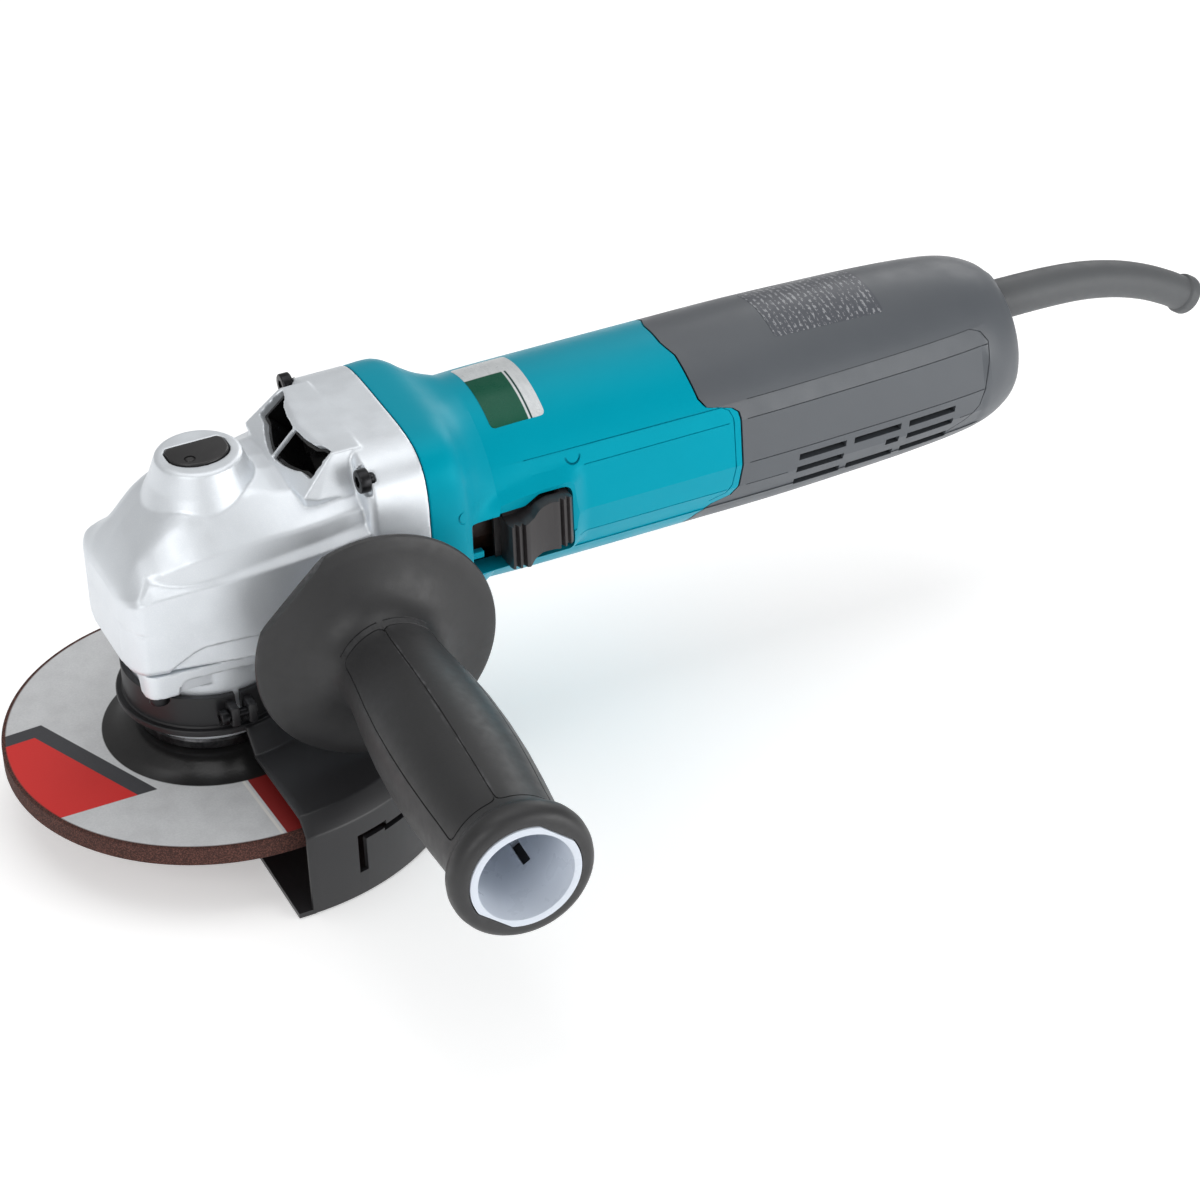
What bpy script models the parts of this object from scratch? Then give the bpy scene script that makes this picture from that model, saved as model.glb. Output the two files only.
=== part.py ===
"""Corded angle grinder, 125 mm class, with side grip, guard and depressed-centre grinding wheel.

Row frame: +Z is the spindle axis, wheel at the bottom; +X runs along the motor to the cord guard;
-Y is the side the grip is screwed to. The origin is the centre of the spindle's nose face.
Every length below is in millimetres and is turned into metres by mm().
"""
import math

import bmesh
import bpy
from mathutils import Matrix, Vector

MM = 0.001
GAP = 0.3                      # assembly gap between touching pieces
COLLECTION = "angle_grinder"
CUTTERS = "angle_grinder_cutters"

# Stack on the spindle axis
WHEEL_R = 62.5
WHEEL_BOTTOM = 3.0
WHEEL_TOP = 9.0
HUB_TOP = 14.0
HUB_BOTTOM = 8.0
WHEEL_BORE_R = 11.2
FLANGE_R = 22.0
FLANGE_TOP = 17.7
NUT_R = 19.5
NUT_BOTTOM = 2.2
THREAD_R = 6.9
JOURNAL_R = 8.4
TOP_JOURNAL_R = 3.95
SPINDLE_TOP = 79.5

# Motor axis and bevel gears
AXIS_Z = 69.0
RING_TEETH = 36
PINION_TEETH = 12
RING_PITCH_R = 21.0
PINION_PITCH_R = 7.0
FACE_WIDTH = 6.0
TOOTH_HEIGHT_OUT = 0.55
TOOTH_HEIGHT_IN = 0.85
TOOTH_SHARE_TIP = 0.26
TOOTH_SHARE_ROOT = 0.50
PINION_PHASE = 0.5

# Bearing cover and guard
NECK_R = 23.2
NECK_BOTTOM = 18.2
COVER_BOTTOM = 38.2
COVER_TOP = 46.0
COVER_SCREW = (21.5, 19.5)
GUARD_R = 71.5
GUARD_WALL = 1.6
GUARD_TOP = 17.5
GUARD_BOTTOM = -14.3
GUARD_FLOOR_R = 40.0
GUARD_FLOOR_FRONT = -3.0
GUARD_HALF_ANGLE = 89.0
GUARD_STEPS = 15
COLLAR_IN = 23.5
COLLAR_OUT = 25.4
COLLAR_RIM = 27.5
COLLAR_BOTTOM = 22.2
COLLAR_TOP = 34.3

# Gear housing
CAVITY_R = 24.2
CAVITY_TOP = 67.0
SEAM_X = 59.0
COLLAR_X = 43.0
FRONT_HALF_W = 35.0
FRONT_HALF_H = 33.0
DOME_TOP = 101.0
SCREW_Y = 29.5
SCREW_Z = 27.5
DOME_X = 3.6
PIN_X = 10.2
PIN_R = 1.8
BUTTON_BOTTOM = 97.5
BUTTON_TRAVEL = 4.5

# Motor and rear housing
BARREL_R = 31.0
BORE_R = 28.3
STACK_X = (84.0, 123.0)        # both iron cores: front and rear ends
STATOR_R = 27.4
STATOR_BORE_R = 18.3
ARMATURE_R = 17.4
REAR_X = 264.5
SLOT_X = (72.0, 104.2)
SLOT_Z = (56.4, 76.8)
KNOB_X = (82.8, 103.6)
KNOB_Z = (57.2, 76.0)
VENT_ROWS = (63.2, 58.2, 52.4)
VENT_SPANS = ((179.4, 195.4), (198.2, 214.4), (217.2, 233.4))
VENT_HEIGHT = 2.2

# Side grip
GRIP_BASE = (35.5, -34.8, 54.5)
GRIP_CANT = 3.0
GRIP_LENGTH = 130.0
GRIP_FLANGE_R = 36.0

# Cord guard
CORD_Z = 79.0
CORD_R = 3.6

METALS = ("aluminium", "steel", "dark_steel", "brass", "copper", "zinc")
COLOURS = {
    "aluminium": (0.78, 0.79, 0.80), "steel": (0.62, 0.63, 0.65), "dark_steel": (0.05, 0.05, 0.055),
    "brass": (0.72, 0.55, 0.25), "copper": (0.72, 0.36, 0.18), "zinc": (0.70, 0.71, 0.73),
    "teal": (0.0, 0.30, 0.36), "grey_plastic": (0.055, 0.057, 0.062), "black_plastic": (0.02, 0.02, 0.022),
    "white_plastic": (0.82, 0.85, 0.88), "rubber": (0.045, 0.046, 0.047), "abrasive": (0.19, 0.10, 0.075),
    "guard_paint": (0.06, 0.06, 0.065), "lamination": (0.35, 0.35, 0.37), "carbon": (0.03, 0.03, 0.03),
}


def mm(*values):
    """Millimetres to metres."""
    return Vector([value * MM for value in values])


def collection(name):
    found = bpy.data.collections.get(name) or bpy.data.collections.new(name)
    if name not in bpy.context.scene.collection.children:
        bpy.context.scene.collection.children.link(found)
    return found


def paint(obj, look):
    """A Principled material of the object's own."""
    material = bpy.data.materials.new(obj.name)
    material.use_nodes = True
    shader = material.node_tree.nodes["Principled BSDF"]
    shader.inputs["Base Color"].default_value = (*COLOURS[look], 1.0)
    shader.inputs["Metallic"].default_value = 1.0 if look in METALS else 0.0
    shader.inputs["Roughness"].default_value = 0.35 if look in METALS else 0.5
    obj.data.materials.append(material)
    return obj


def add(name, mesh, look, smooth=True):
    obj = bpy.data.objects.new(name, mesh)
    collection(COLLECTION).objects.link(obj)
    if smooth:
        mesh.polygons.foreach_set("use_smooth", [True] * len(mesh.polygons))
        mesh.set_sharp_from_angle(angle=math.radians(35))
    return paint(obj, look)


def solid(name, verts, faces, look, origin=(0, 0, 0), smooth=True):
    """A closed mesh from points in row-frame millimetres, with its origin at the given point."""
    mesh = bpy.data.meshes.new(name)
    base = Vector(origin)
    mesh.from_pydata([mm(*(Vector(v) - base)) for v in verts], [], faces)
    bm = bmesh.new()
    bm.from_mesh(mesh)
    bmesh.ops.recalc_face_normals(bm, faces=bm.faces)
    bm.to_mesh(mesh)
    bm.free()
    obj = add(name, mesh, look, smooth)
    obj.location = mm(*base)
    return obj


def loft(name, rings, look, closed=False, origin=(0, 0, 0), smooth=True):
    """Skin over rings of equal point count; capped at both ends unless closed on itself."""
    count = len(rings[0])
    verts = [point for ring in rings for point in ring]
    faces = []
    for k in range(len(rings) if closed else len(rings) - 1):
        a = k * count
        b = (k + 1) % len(rings) * count
        for i in range(count):
            j = (i + 1) % count
            faces.append((a + i, a + j, b + j, b + i))
    if not closed:
        faces.append(tuple(range(count)))
        faces.append(tuple(range((len(rings) - 1) * count, len(rings) * count)))
    return solid(name, verts, faces, look, origin, smooth)


def prism(name, outline, low, high, look, axis="Z", origin=(0, 0, 0), smooth=False):
    """An outline drawn across an axis and carried from low to high along it."""
    place = {"Z": lambda p, t: (p[0], p[1], t), "Y": lambda p, t: (p[0], t, p[1]),
             "X": lambda p, t: (t, p[0], p[1])}[axis]
    return loft(name, [[place(p, t) for p in outline] for t in (low, high)], look, False, origin, smooth)


def block(name, low, high, look, bevel=0.0, origin=None):
    """A box between two corners, with an optional chamfer."""
    (x0, y0, z0), (x1, y1, z1) = low, high
    centre = origin or ((x0 + x1) / 2, (y0 + y1) / 2, (z0 + z1) / 2)
    obj = prism(name, [(x0, y0), (x1, y0), (x1, y1), (x0, y1)], z0, z1, look, "Z", centre)
    if bevel:
        soften(obj, bevel)
    return obj


def soften(obj, width, segments=1):
    modifier = obj.modifiers.new("bevel", "BEVEL")
    modifier.width = width * MM
    modifier.segments = segments
    modifier.limit_method = "ANGLE"
    modifier.angle_limit = math.radians(40)
    return obj


def lathe(name, profile, look, steps=32, axis="Z", origin=(0, 0, 0)):
    """A turned piece. Profile points are (radius, height); it closes unless it ends on the axis."""
    mesh = bpy.data.meshes.new(name)
    count = len(profile)
    edges = [(i, i + 1) for i in range(count - 1)]
    if profile[0][0] > 0 or profile[-1][0] > 0:
        edges.append((count - 1, 0))
    mesh.from_pydata([mm(r, 0, h) for r, h in profile], edges, [])
    obj = add(name, mesh, look, False)
    modifier = obj.modifiers.new("screw", "SCREW")
    modifier.axis = "Z"
    modifier.steps = steps
    modifier.render_steps = steps
    modifier.use_merge_vertices = True
    modifier.merge_threshold = 0.00001
    modifier.use_smooth_shade = True
    turn = {"Z": Matrix.Identity(4), "X": Matrix.Rotation(math.radians(90), 4, "Y"),
            "Y": Matrix.Rotation(math.radians(-90), 4, "X")}[axis]
    obj.matrix_world = Matrix.Translation(mm(*origin)) @ turn
    return obj


def tube(name, outer, inner, low, high, look, steps=32, axis="Z", origin=(0, 0, 0)):
    profile = [(outer, high), (outer, low), (inner, low), (inner, high)]
    if inner == 0:
        profile = [(0, high), (outer, high), (outer, low), (0, low)]
    return lathe(name, profile, look, steps, axis, origin)


def boolean(target, other, operation):
    modifier = target.modifiers.new(other.name, "BOOLEAN")
    modifier.operation = operation
    modifier.solver = "EXACT"
    modifier.object = other
    other.hide_render = True
    other.display_type = "WIRE"
    collection(COLLECTION).objects.unlink(other)
    collection(CUTTERS).objects.link(other)
    return target


def cut(target, *tools):
    for tool in tools:
        boolean(target, tool, "DIFFERENCE")
    return target


def merge(target, *tools):
    for tool in tools:
        boolean(target, tool, "UNION")
    return target


def many(name, pieces, look):
    """Several separate closed pieces in one mesh, for use as one cutter or one addition."""
    mesh = bpy.data.meshes.new(name)
    verts, faces = [], []
    for piece_verts, piece_faces in pieces:
        base = len(verts)
        verts += piece_verts
        faces += [tuple(base + i for i in face) for face in piece_faces]
    mesh.from_pydata([mm(*v) for v in verts], [], faces)
    bm = bmesh.new()
    bm.from_mesh(mesh)
    bmesh.ops.recalc_face_normals(bm, faces=bm.faces)
    bm.to_mesh(mesh)
    bm.free()
    return add(name, mesh, look, False)


BOX_FACES = [(0, 1, 2, 3), (4, 5, 6, 7), (0, 1, 5, 4), (1, 2, 6, 5), (2, 3, 7, 6), (3, 0, 4, 7)]


def box_piece(low, high):
    (x0, y0, z0), (x1, y1, z1) = low, high
    verts = [(x0, y0, z0), (x1, y0, z0), (x1, y1, z0), (x0, y1, z0),
             (x0, y0, z1), (x1, y0, z1), (x1, y1, z1), (x0, y1, z1)]
    return verts, BOX_FACES


def rod_piece(point, direction, radius, length, sides=12):
    """A cylinder from a point along a unit direction."""
    direction = Vector(direction).normalized()
    side = direction.orthogonal().normalized()
    other = direction.cross(side)
    verts = []
    for t in (0, length):
        for k in range(sides):
            a = 2 * math.pi * k / sides
            verts.append(tuple(Vector(point) + direction * t + (side * math.cos(a) + other * math.sin(a)) * radius))
    faces = [tuple(range(sides)), tuple(range(sides, 2 * sides))]
    faces += [(k, (k + 1) % sides, sides + (k + 1) % sides, sides + k) for k in range(sides)]
    return verts, faces


def rounded(half_w, half_h, radius, per_corner=5):
    """Points of a rounded rectangle about the origin."""
    points = []
    for quarter, (sx, sy) in enumerate(((1, 1), (-1, 1), (-1, -1), (1, -1))):
        for k in range(per_corner):
            a = math.pi / 2 * (quarter + k / (per_corner - 1 if radius < min(half_w, half_h) else per_corner))
            points.append((sx * (half_w - radius) + radius * math.cos(a),
                           sy * (half_h - radius) + radius * math.sin(a)))
    return points


def x_section(x, half_w, half_h, radius, per_corner=5):
    return [(x, y, AXIS_Z + z) for y, z in rounded(half_w, half_h, radius, per_corner)]


# ---------------------------------------------------------------- gear head

def head_section(x, low, side, crease_z, shoulder, shoulder_z, top_z):
    """One cross-section of the gear housing, from the bottom edge round over the crown."""
    half = [(side - 1.5, low), (side, low + 2.0), (side, crease_z), (shoulder, shoulder_z),
            (shoulder - 6.0, top_z - 0.8)]
    return [(x, y, z) for y, z in half] + [(x, -y, z) for y, z in reversed(half)]


HEAD_STATIONS = (
    (-29.0, 48.5, 14.0, 66.0, 11.0, 70.0, 72.5),
    (-26.8, 46.8, 19.5, 69.0, 16.0, 76.0, 78.5),
    (-23.5, 46.3, 23.4, 70.5, 18.5, 79.0, 81.5),
    (-14.0, 46.3, 25.8, 72.0, 20.0, 82.0, 85.0),
    (5.0, 46.3, 28.4, 74.0, 22.0, 84.5, 88.0),
    (22.0, 46.3, 31.0, 76.5, 24.0, 87.5, 91.0),
    (27.0, 46.3, 31.9, 77.8, 24.8, 89.2, 93.0),
    (32.0, 43.6, 32.7, 79.4, 25.6, 91.6, 95.6),
    (41.0, 38.5, 33.4, 84.0, 26.5, 97.0, 100.5),
    (46.0, 38.5, 33.4, 84.0, 26.5, 97.0, 100.5),
)


def flange_corners():
    return [(sy * SCREW_Y, AXIS_Z + sz * SCREW_Z) for sy in (-1, 1) for sz in (-1, 1)]


def cover_corners():
    return [(sx * COVER_SCREW[0], sy * COVER_SCREW[1]) for sx in (-1, 1) for sy in (-1, 1)]


def build_gear_housing():
    housing = loft("gear_housing", [head_section(*station) for station in HEAD_STATIONS], "aluminium")
    flange = loft("gear_housing_flange",
                  [x_section(COLLAR_X, FRONT_HALF_W - 1.2, FRONT_HALF_H - 1.2, 10.0),
                   x_section(COLLAR_X + 1.5, FRONT_HALF_W, FRONT_HALF_H, 11.0),
                   x_section(SEAM_X, FRONT_HALF_W, FRONT_HALF_H, 11.0)], "aluminium")
    dome = lathe("spindle_lock_dome", [(0, DOME_TOP), (11.2, DOME_TOP), (12.6, DOME_TOP - 1.0),
                                       (15.2, 92.0), (18.0, 84.0), (19.0, 76.0), (0, 76.0)], "aluminium", 24,
                 "Z", (DOME_X, 0, 0))
    bosses = many("grip_bosses", [rod_piece((35.5, 30.0, 54.5), (0, 1, 0), 10.0, 4.5, 16),
                                  rod_piece((35.5, -30.0, 54.5), (0, -1, 0), 10.0, 4.5, 16)], "aluminium")
    merge(housing, flange, dome, bosses)

    cavity = lathe("gear_cavity", [(0, 80.6), (6.3, 80.6), (6.3, CAVITY_TOP), (CAVITY_R, CAVITY_TOP),
                                   (CAVITY_R, 40.0), (0, 40.0)], "aluminium", 24)
    bore = lathe("armature_bore", [(0, 62.0), (29.2, 62.0), (29.2, 47.0), (13.3, 47.0), (13.3, 33.0), (10.2, 33.0),
                                   (10.2, 8.0), (0, 8.0)], "aluminium", 24, "X", (0, 0, AXIS_Z))
    duct = prism("exhaust_duct", [(24.0, 99.0), (31.5, 94.8), (50.0, 89.0), (50.0, 97.4), (41.0, 98.6),
                                  (34.0, 105.0)], -18.8, 18.8, "aluminium", "Y")
    cut(housing, cavity, bore, duct)
    rib = prism("exhaust_rib", [(30.5, 92.0), (41.5, 88.5), (41.5, 100.0), (37.0, 98.2)], -1.2, 1.2,
                "aluminium", "Y")
    merge(housing, rib)

    pockets = [rod_piece((30.0, y, z), (1, 0, 0), 4.3, 13.2, 12) for y, z in flange_corners()]
    bores = [rod_piece((42.0, y, z), (1, 0, 0), 1.95, 20.0, 8) for y, z in flange_corners()]
    taps = [rod_piece((x, y, 40.0), (0, 0, 1), 1.95, 18.0, 8) for x, y in cover_corners()]
    studs = [rod_piece((GRIP_BASE[0], 40.0, GRIP_BASE[2]), (0, -1, 0), 5.4, 19.5, 12)]
    cant = math.radians(GRIP_CANT)
    toward = Vector((math.sin(cant), math.cos(cant), 0))
    start = Vector(GRIP_BASE) - toward * 6.0
    studs.append(rod_piece(tuple(start), tuple(toward), 5.4, 19.5, 12))
    cut(housing, many("screw_pockets", pockets, "aluminium"), many("screw_bores", bores, "aluminium"),
        many("cover_taps", taps, "aluminium"), many("grip_threads", studs, "aluminium"))

    button_well = prism("button_well", button_outline(0.35), BUTTON_BOTTOM - BUTTON_TRAVEL - 0.5, 110.0, "aluminium")
    pin_hole = many("pin_hole", [rod_piece((PIN_X, 0, 60.0), (0, 0, 1), PIN_R + 0.1, 40.0, 12)], "aluminium")
    cut(housing, button_well, pin_hole)


def button_outline(grow=0.0):
    """The D-shaped button seen from above: straight on the right-hand side, round on the other."""
    points = [(DOME_X + 7.6 + grow, 5.4 + grow), (DOME_X + 9.0 + grow, 3.4), (DOME_X + 9.0 + grow, 0.0)]
    for k in range(1, 9):
        a = math.radians(22.5 * k)
        points.append((DOME_X + (9.0 + grow) * math.cos(a), -(7.2 + grow) * math.sin(a)))
    points += [(DOME_X - 9.0 - grow, 3.4), (DOME_X - 7.6 - grow, 5.4 + grow)]
    return points


def build_lock_button():
    button = prism("lock_button", button_outline(), BUTTON_BOTTOM, DOME_TOP + 0.8, "black_plastic", "Z",
                   (PIN_X, 0, BUTTON_BOTTOM))
    soften(button, 0.6)
    socket = many("lock_pin_socket", [rod_piece((PIN_X, 0, BUTTON_BOTTOM - 2.0), (0, 0, 1), PIN_R + 0.1, 4.3, 12)],
                  "black_plastic")
    cut(button, socket)
    tube("lock_pin", PIN_R, 0, 69.2, 99.5, "steel", 12, "Z", (PIN_X, 0, 0))


def build_head_details():
    block("exhaust_liner", (43.5, -18.3, 91.6), (45.5, 18.3, 97.3), "black_plastic")
    tube("spindle_bush", 6.0, TOP_JOURNAL_R + 0.05, 70.2, 80.2, "steel", 24)
    cover_screws()
    housing_screws()


def screw(name, head_r, head_h, shank_r, length, look, axis, origin):
    """Cap screw with a socket: its head lies behind the origin along the axis, the shank ahead of it."""
    profile = [(0, length), (shank_r, length), (shank_r, 0), (head_r, 0), (head_r, -head_h),
               (head_r * 0.5, -head_h), (head_r * 0.5, -head_h * 0.4), (0, -head_h * 0.4)]
    return lathe(name, profile, look, 10, axis, origin)


def cover_screws():
    for index, (x, y) in enumerate(cover_corners()):
        screw(f"cover_screw_{index + 1}", 3.0, 3.0, 1.7, 16.5, "dark_steel", "Z", (x, y, COVER_BOTTOM - 0.2))


def housing_screws():
    for index, (y, z) in enumerate(flange_corners()):
        screw(f"housing_screw_{index + 1}", 3.5, 3.2, 1.7, 23.0, "dark_steel", "X", (COLLAR_X, y, z))


def build_bearing_cover():
    outline = rounded(26.0, 24.2, 6.0, 5)
    cover = prism("bearing_cover", outline, COVER_BOTTOM, COVER_TOP, "aluminium")
    soften(cover, 0.8)
    neck = tube("bearing_cover_neck", NECK_R, 0, NECK_BOTTOM, COVER_BOTTOM + 2, "aluminium", 32)
    merge(cover, neck)
    seat = tube("spindle_bearing_seat", 17.8, 0, 26.6, 60.0, "aluminium", 24)
    throat = tube("spindle_throat", 10.0, 0, 0.0, 30.0, "aluminium", 24)
    holes = many("cover_screw_holes", [rod_piece((x, y, 30.0), (0, 0, 1), 1.95, 20.0, 12)
                                       for x, y in cover_corners()], "aluminium")
    cut(cover, seat, throat, holes)
    lathe("spindle_bearing", [(17.5, 37.8), (17.5, 27.0), (JOURNAL_R + 0.08, 27.0), (JOURNAL_R + 0.08, 37.8)],
          "steel", 28)
    tube("bearing_retainer", 17.3, 11.0, 38.2, 41.0, "zinc", 20)


def build_spindle():
    lathe("spindle", [(0, SPINDLE_TOP), (TOP_JOURNAL_R - 0.5, SPINDLE_TOP), (TOP_JOURNAL_R, SPINDLE_TOP - 0.6),
                      (TOP_JOURNAL_R, 66.5), (7.0, 66.5), (7.0, 42.0), (JOURNAL_R, 42.0), (JOURNAL_R, 18.2),
                      (THREAD_R, 18.2), (THREAD_R, 1.0), (THREAD_R - 1.0, 0.0), (0, 0.0)], "steel", 24)
    tube("inner_flange", FLANGE_R, THREAD_R + 0.2, HUB_TOP + 0.2, FLANGE_TOP, "dark_steel", 28)
    lathe("grinding_wheel", [(WHEEL_R, WHEEL_TOP), (WHEEL_R, WHEEL_BOTTOM), (31.0, WHEEL_BOTTOM),
                             (24.0, HUB_BOTTOM), (WHEEL_BORE_R, HUB_BOTTOM), (WHEEL_BORE_R, HUB_TOP),
                             (22.5, HUB_TOP), (25.0, 13.2), (30.0, 9.8), (33.0, WHEEL_TOP)], "abrasive", 40)
    nut = lathe("lock_nut", [(NUT_R - 0.6, HUB_BOTTOM - 0.2), (NUT_R, HUB_BOTTOM - 0.8), (NUT_R, NUT_BOTTOM + 0.6),
                             (NUT_R - 0.6, NUT_BOTTOM), (THREAD_R + 0.2, NUT_BOTTOM), (THREAD_R + 0.2, 12.0),
                             (WHEEL_BORE_R - 0.5, 12.0), (WHEEL_BORE_R - 0.5, HUB_BOTTOM - 0.2)], "dark_steel", 20)
    sockets = [rod_piece((15.0 * math.cos(a), 15.0 * math.sin(a), 0.0), (0, 0, 1), 2.4, 5.0, 8)
               for a in [math.radians(45 + 90 * k) for k in range(4)]]
    cut(nut, many("nut_pin_sockets", sockets, "dark_steel"))


# ---------------------------------------------------------------- bevel gears

def bevel_gear(name, teeth, pitch_angle, phase, look, back, bore, axis, origin):
    """Straight bevel gear with its apex at the local origin; heights are measured from the apex, down -Z."""
    cone = math.hypot(RING_PITCH_R, PINION_PITCH_R)
    rings = []
    samples = []
    for k in range(teeth):
        centre = 2 * math.pi * (k + phase) / teeth
        pitch = 2 * math.pi / teeth
        samples += [(centre - pitch * TOOTH_SHARE_ROOT / 2, False), (centre - pitch * TOOTH_SHARE_TIP / 2, True),
                    (centre + pitch * TOOTH_SHARE_TIP / 2, True), (centre + pitch * TOOTH_SHARE_ROOT / 2, False)]
    for reach in (cone, cone - FACE_WIDTH):
        share = reach / cone
        ring = []
        for angle, tip in samples:
            lift = (TOOTH_HEIGHT_OUT if tip else -TOOTH_HEIGHT_IN) * share
            radius = reach * math.sin(pitch_angle) + lift * math.cos(pitch_angle)
            height = -reach * math.cos(pitch_angle) + lift * math.sin(pitch_angle)
            ring.append((radius * math.cos(angle), radius * math.sin(angle), height))
        rings.append(ring)
    back_r, back_h = back
    bore_r, bore_top = bore
    gaps = [samples[4 * k][0] for k in range(teeth)]
    plain = [[(r * math.cos(a), r * math.sin(a), h) for a in gaps]
             for r, h in ((back_r, back_h), (bore_r, back_h), (bore_r, bore_top))]
    verts = [p for ring in rings + plain for p in ring]
    heel, toe = 0, len(samples)
    rear, low, high = (2 * len(samples) + k * teeth for k in range(3))
    faces = []
    for i in range(len(samples)):
        j = (i + 1) % len(samples)
        faces.append((heel + i, heel + j, toe + j, toe + i))
    for k in range(teeth):
        n = (k + 1) % teeth
        tooth = [4 * k, 4 * k + 1, 4 * k + 2, 4 * k + 3, 4 * n]
        faces.append(tuple([rear + k] + [heel + i for i in tooth] + [rear + n]))
        faces.append(tuple([high + k] + [toe + i for i in tooth] + [high + n]))
        faces.append((rear + k, rear + n, low + n, low + k))
        faces.append((low + k, low + n, high + n, high + k))
    mesh = bpy.data.meshes.new(name)
    mesh.from_pydata([mm(*v) for v in verts], [], faces)
    bm = bmesh.new()
    bm.from_mesh(mesh)
    bmesh.ops.recalc_face_normals(bm, faces=bm.faces)
    bm.to_mesh(mesh)
    bm.free()
    obj = add(name, mesh, look, False)
    turn = Matrix.Identity(4) if axis == "Z" else Matrix.Rotation(math.radians(-90), 4, "Y")
    obj.matrix_world = Matrix.Translation(mm(*origin)) @ turn
    return obj


def build_gears():
    pinion_angle = math.atan2(PINION_PITCH_R, RING_PITCH_R)
    ring = bevel_gear("ring_gear", RING_TEETH, math.pi / 2 - pinion_angle, 0.0, "steel", (21.2, -17.5), (7.3, -9.2),
                      "Z", (0, 0, AXIS_Z))
    holes = [rod_piece((PIN_X * math.cos(a), PIN_X * math.sin(a), 45.0), (0, 0, 1), PIN_R + 0.6, 30.0, 10)
             for a in (0.0, math.pi)]
    cut(ring, many("lock_pin_holes", holes, "steel"))
    bevel_gear("pinion", PINION_TEETH, pinion_angle, PINION_PHASE, "steel", (5.6, -22.6), (4.35, -15.5),
               "X", (0, 0, AXIS_Z))


# ---------------------------------------------------------------- guard

def build_guard():
    collar = lathe("wheel_guard", [(COLLAR_OUT, COLLAR_TOP), (COLLAR_OUT, COLLAR_BOTTOM + 2.0),
                                   (COLLAR_RIM, COLLAR_BOTTOM + 2.0), (COLLAR_RIM, COLLAR_BOTTOM),
                                   (COLLAR_IN, COLLAR_BOTTOM), (COLLAR_IN, COLLAR_TOP)], "guard_paint", 28)
    wall = GUARD_WALL
    profile = [(24.2, COLLAR_BOTTOM + 1.6), (COLLAR_RIM + 1.0, COLLAR_BOTTOM + 1.6), (34.0, GUARD_TOP),
               (GUARD_R - 4.5, GUARD_TOP), (GUARD_R, GUARD_TOP - 4.5), (GUARD_R, GUARD_BOTTOM),
               (GUARD_FLOOR_R, GUARD_BOTTOM), (GUARD_FLOOR_R, GUARD_BOTTOM + wall),
               (GUARD_R - wall, GUARD_BOTTOM + wall),
               (GUARD_R - wall, GUARD_TOP - 5.2), (GUARD_R - 5.2, GUARD_TOP - wall), (33.4, GUARD_TOP - wall),
               (27.9, COLLAR_BOTTOM + 0.1), (24.2, COLLAR_BOTTOM + 0.1)]
    rings = []
    for k in range(GUARD_STEPS + 1):
        a = math.radians(-GUARD_HALF_ANGLE + 2 * GUARD_HALF_ANGLE * k / GUARD_STEPS)
        rings.append([(r * math.cos(a), r * math.sin(a), h) for r, h in profile])
    shell = loft("guard_shell", rings, "guard_paint")
    lugs = many("clamp_lugs", [box_piece((-4.2, -30.5, 25.6), (-1.2, -24.6, 33.6)),
                               box_piece((1.2, -30.5, 25.6), (4.2, -24.6, 33.6))], "guard_paint")
    near, far = GUARD_FLOOR_R + 0.1, GUARD_R - 0.2
    tabs = many("floor_tabs", [box_piece((GUARD_FLOOR_FRONT, low, GUARD_BOTTOM), (2.2, high, GUARD_BOTTOM + wall))
                               for low, high in ((near, far), (-far, -near))], "guard_paint")
    merge(collar, shell, lugs, tabs)
    split = block("clamp_split", (-0.9, -40.0, 24.4), (0.9, -20.0, 40.0), "guard_paint")
    hole = many("clamp_hole", [rod_piece((-10.0, -28.2, 29.6), (1, 0, 0), 1.6, 20.0, 12)], "guard_paint")
    cut(collar, split, hole)
    screw("guard_clamp_screw", 2.4, 2.6, 1.4, 9.0, "dark_steel", "X", (-4.4, -28.2, 29.6))


# ---------------------------------------------------------------- motor

def build_armature():
    place = ("X", (0, 0, AXIS_Z))
    lathe("armature_shaft", [(0, 176.0), (3.4, 176.0), (3.4, 167.0), (4.45, 167.0), (4.45, 24.0), (4.0, 24.0),
                             (4.0, 14.5), (0, 14.5)], "steel", 16, *place)
    front, rear = STACK_X
    tube("armature_core", ARMATURE_R, 4.6, front, rear, "lamination", 24, *place)
    lathe("armature_winding_front", [(14.0, front - 0.3), (15.6, front - 2.5), (15.6, front - 5.5), (12.0, front - 8.0),
                                     (4.7, front - 8.0), (4.7, front - 0.3)], "copper", 20, *place)
    lathe("armature_winding_rear", [(9.0, 144.6), (12.5, rear + 9.0), (15.6, rear + 6.0), (15.6, rear + 2.5),
                                    (14.0, rear + 0.3), (4.7, rear + 0.3), (4.7, 144.6)], "copper", 20, *place)
    tube("commutator", 11.8, 4.7, 145.0, 161.0, "copper", 20, *place)
    tube("front_bearing", 13.0, 4.55, 33.4, 41.4, "steel", 20, *place)
    tube("rear_bearing", 9.5, 3.5, 168.0, 174.0, "steel", 20, *place)
    build_fan()


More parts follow.
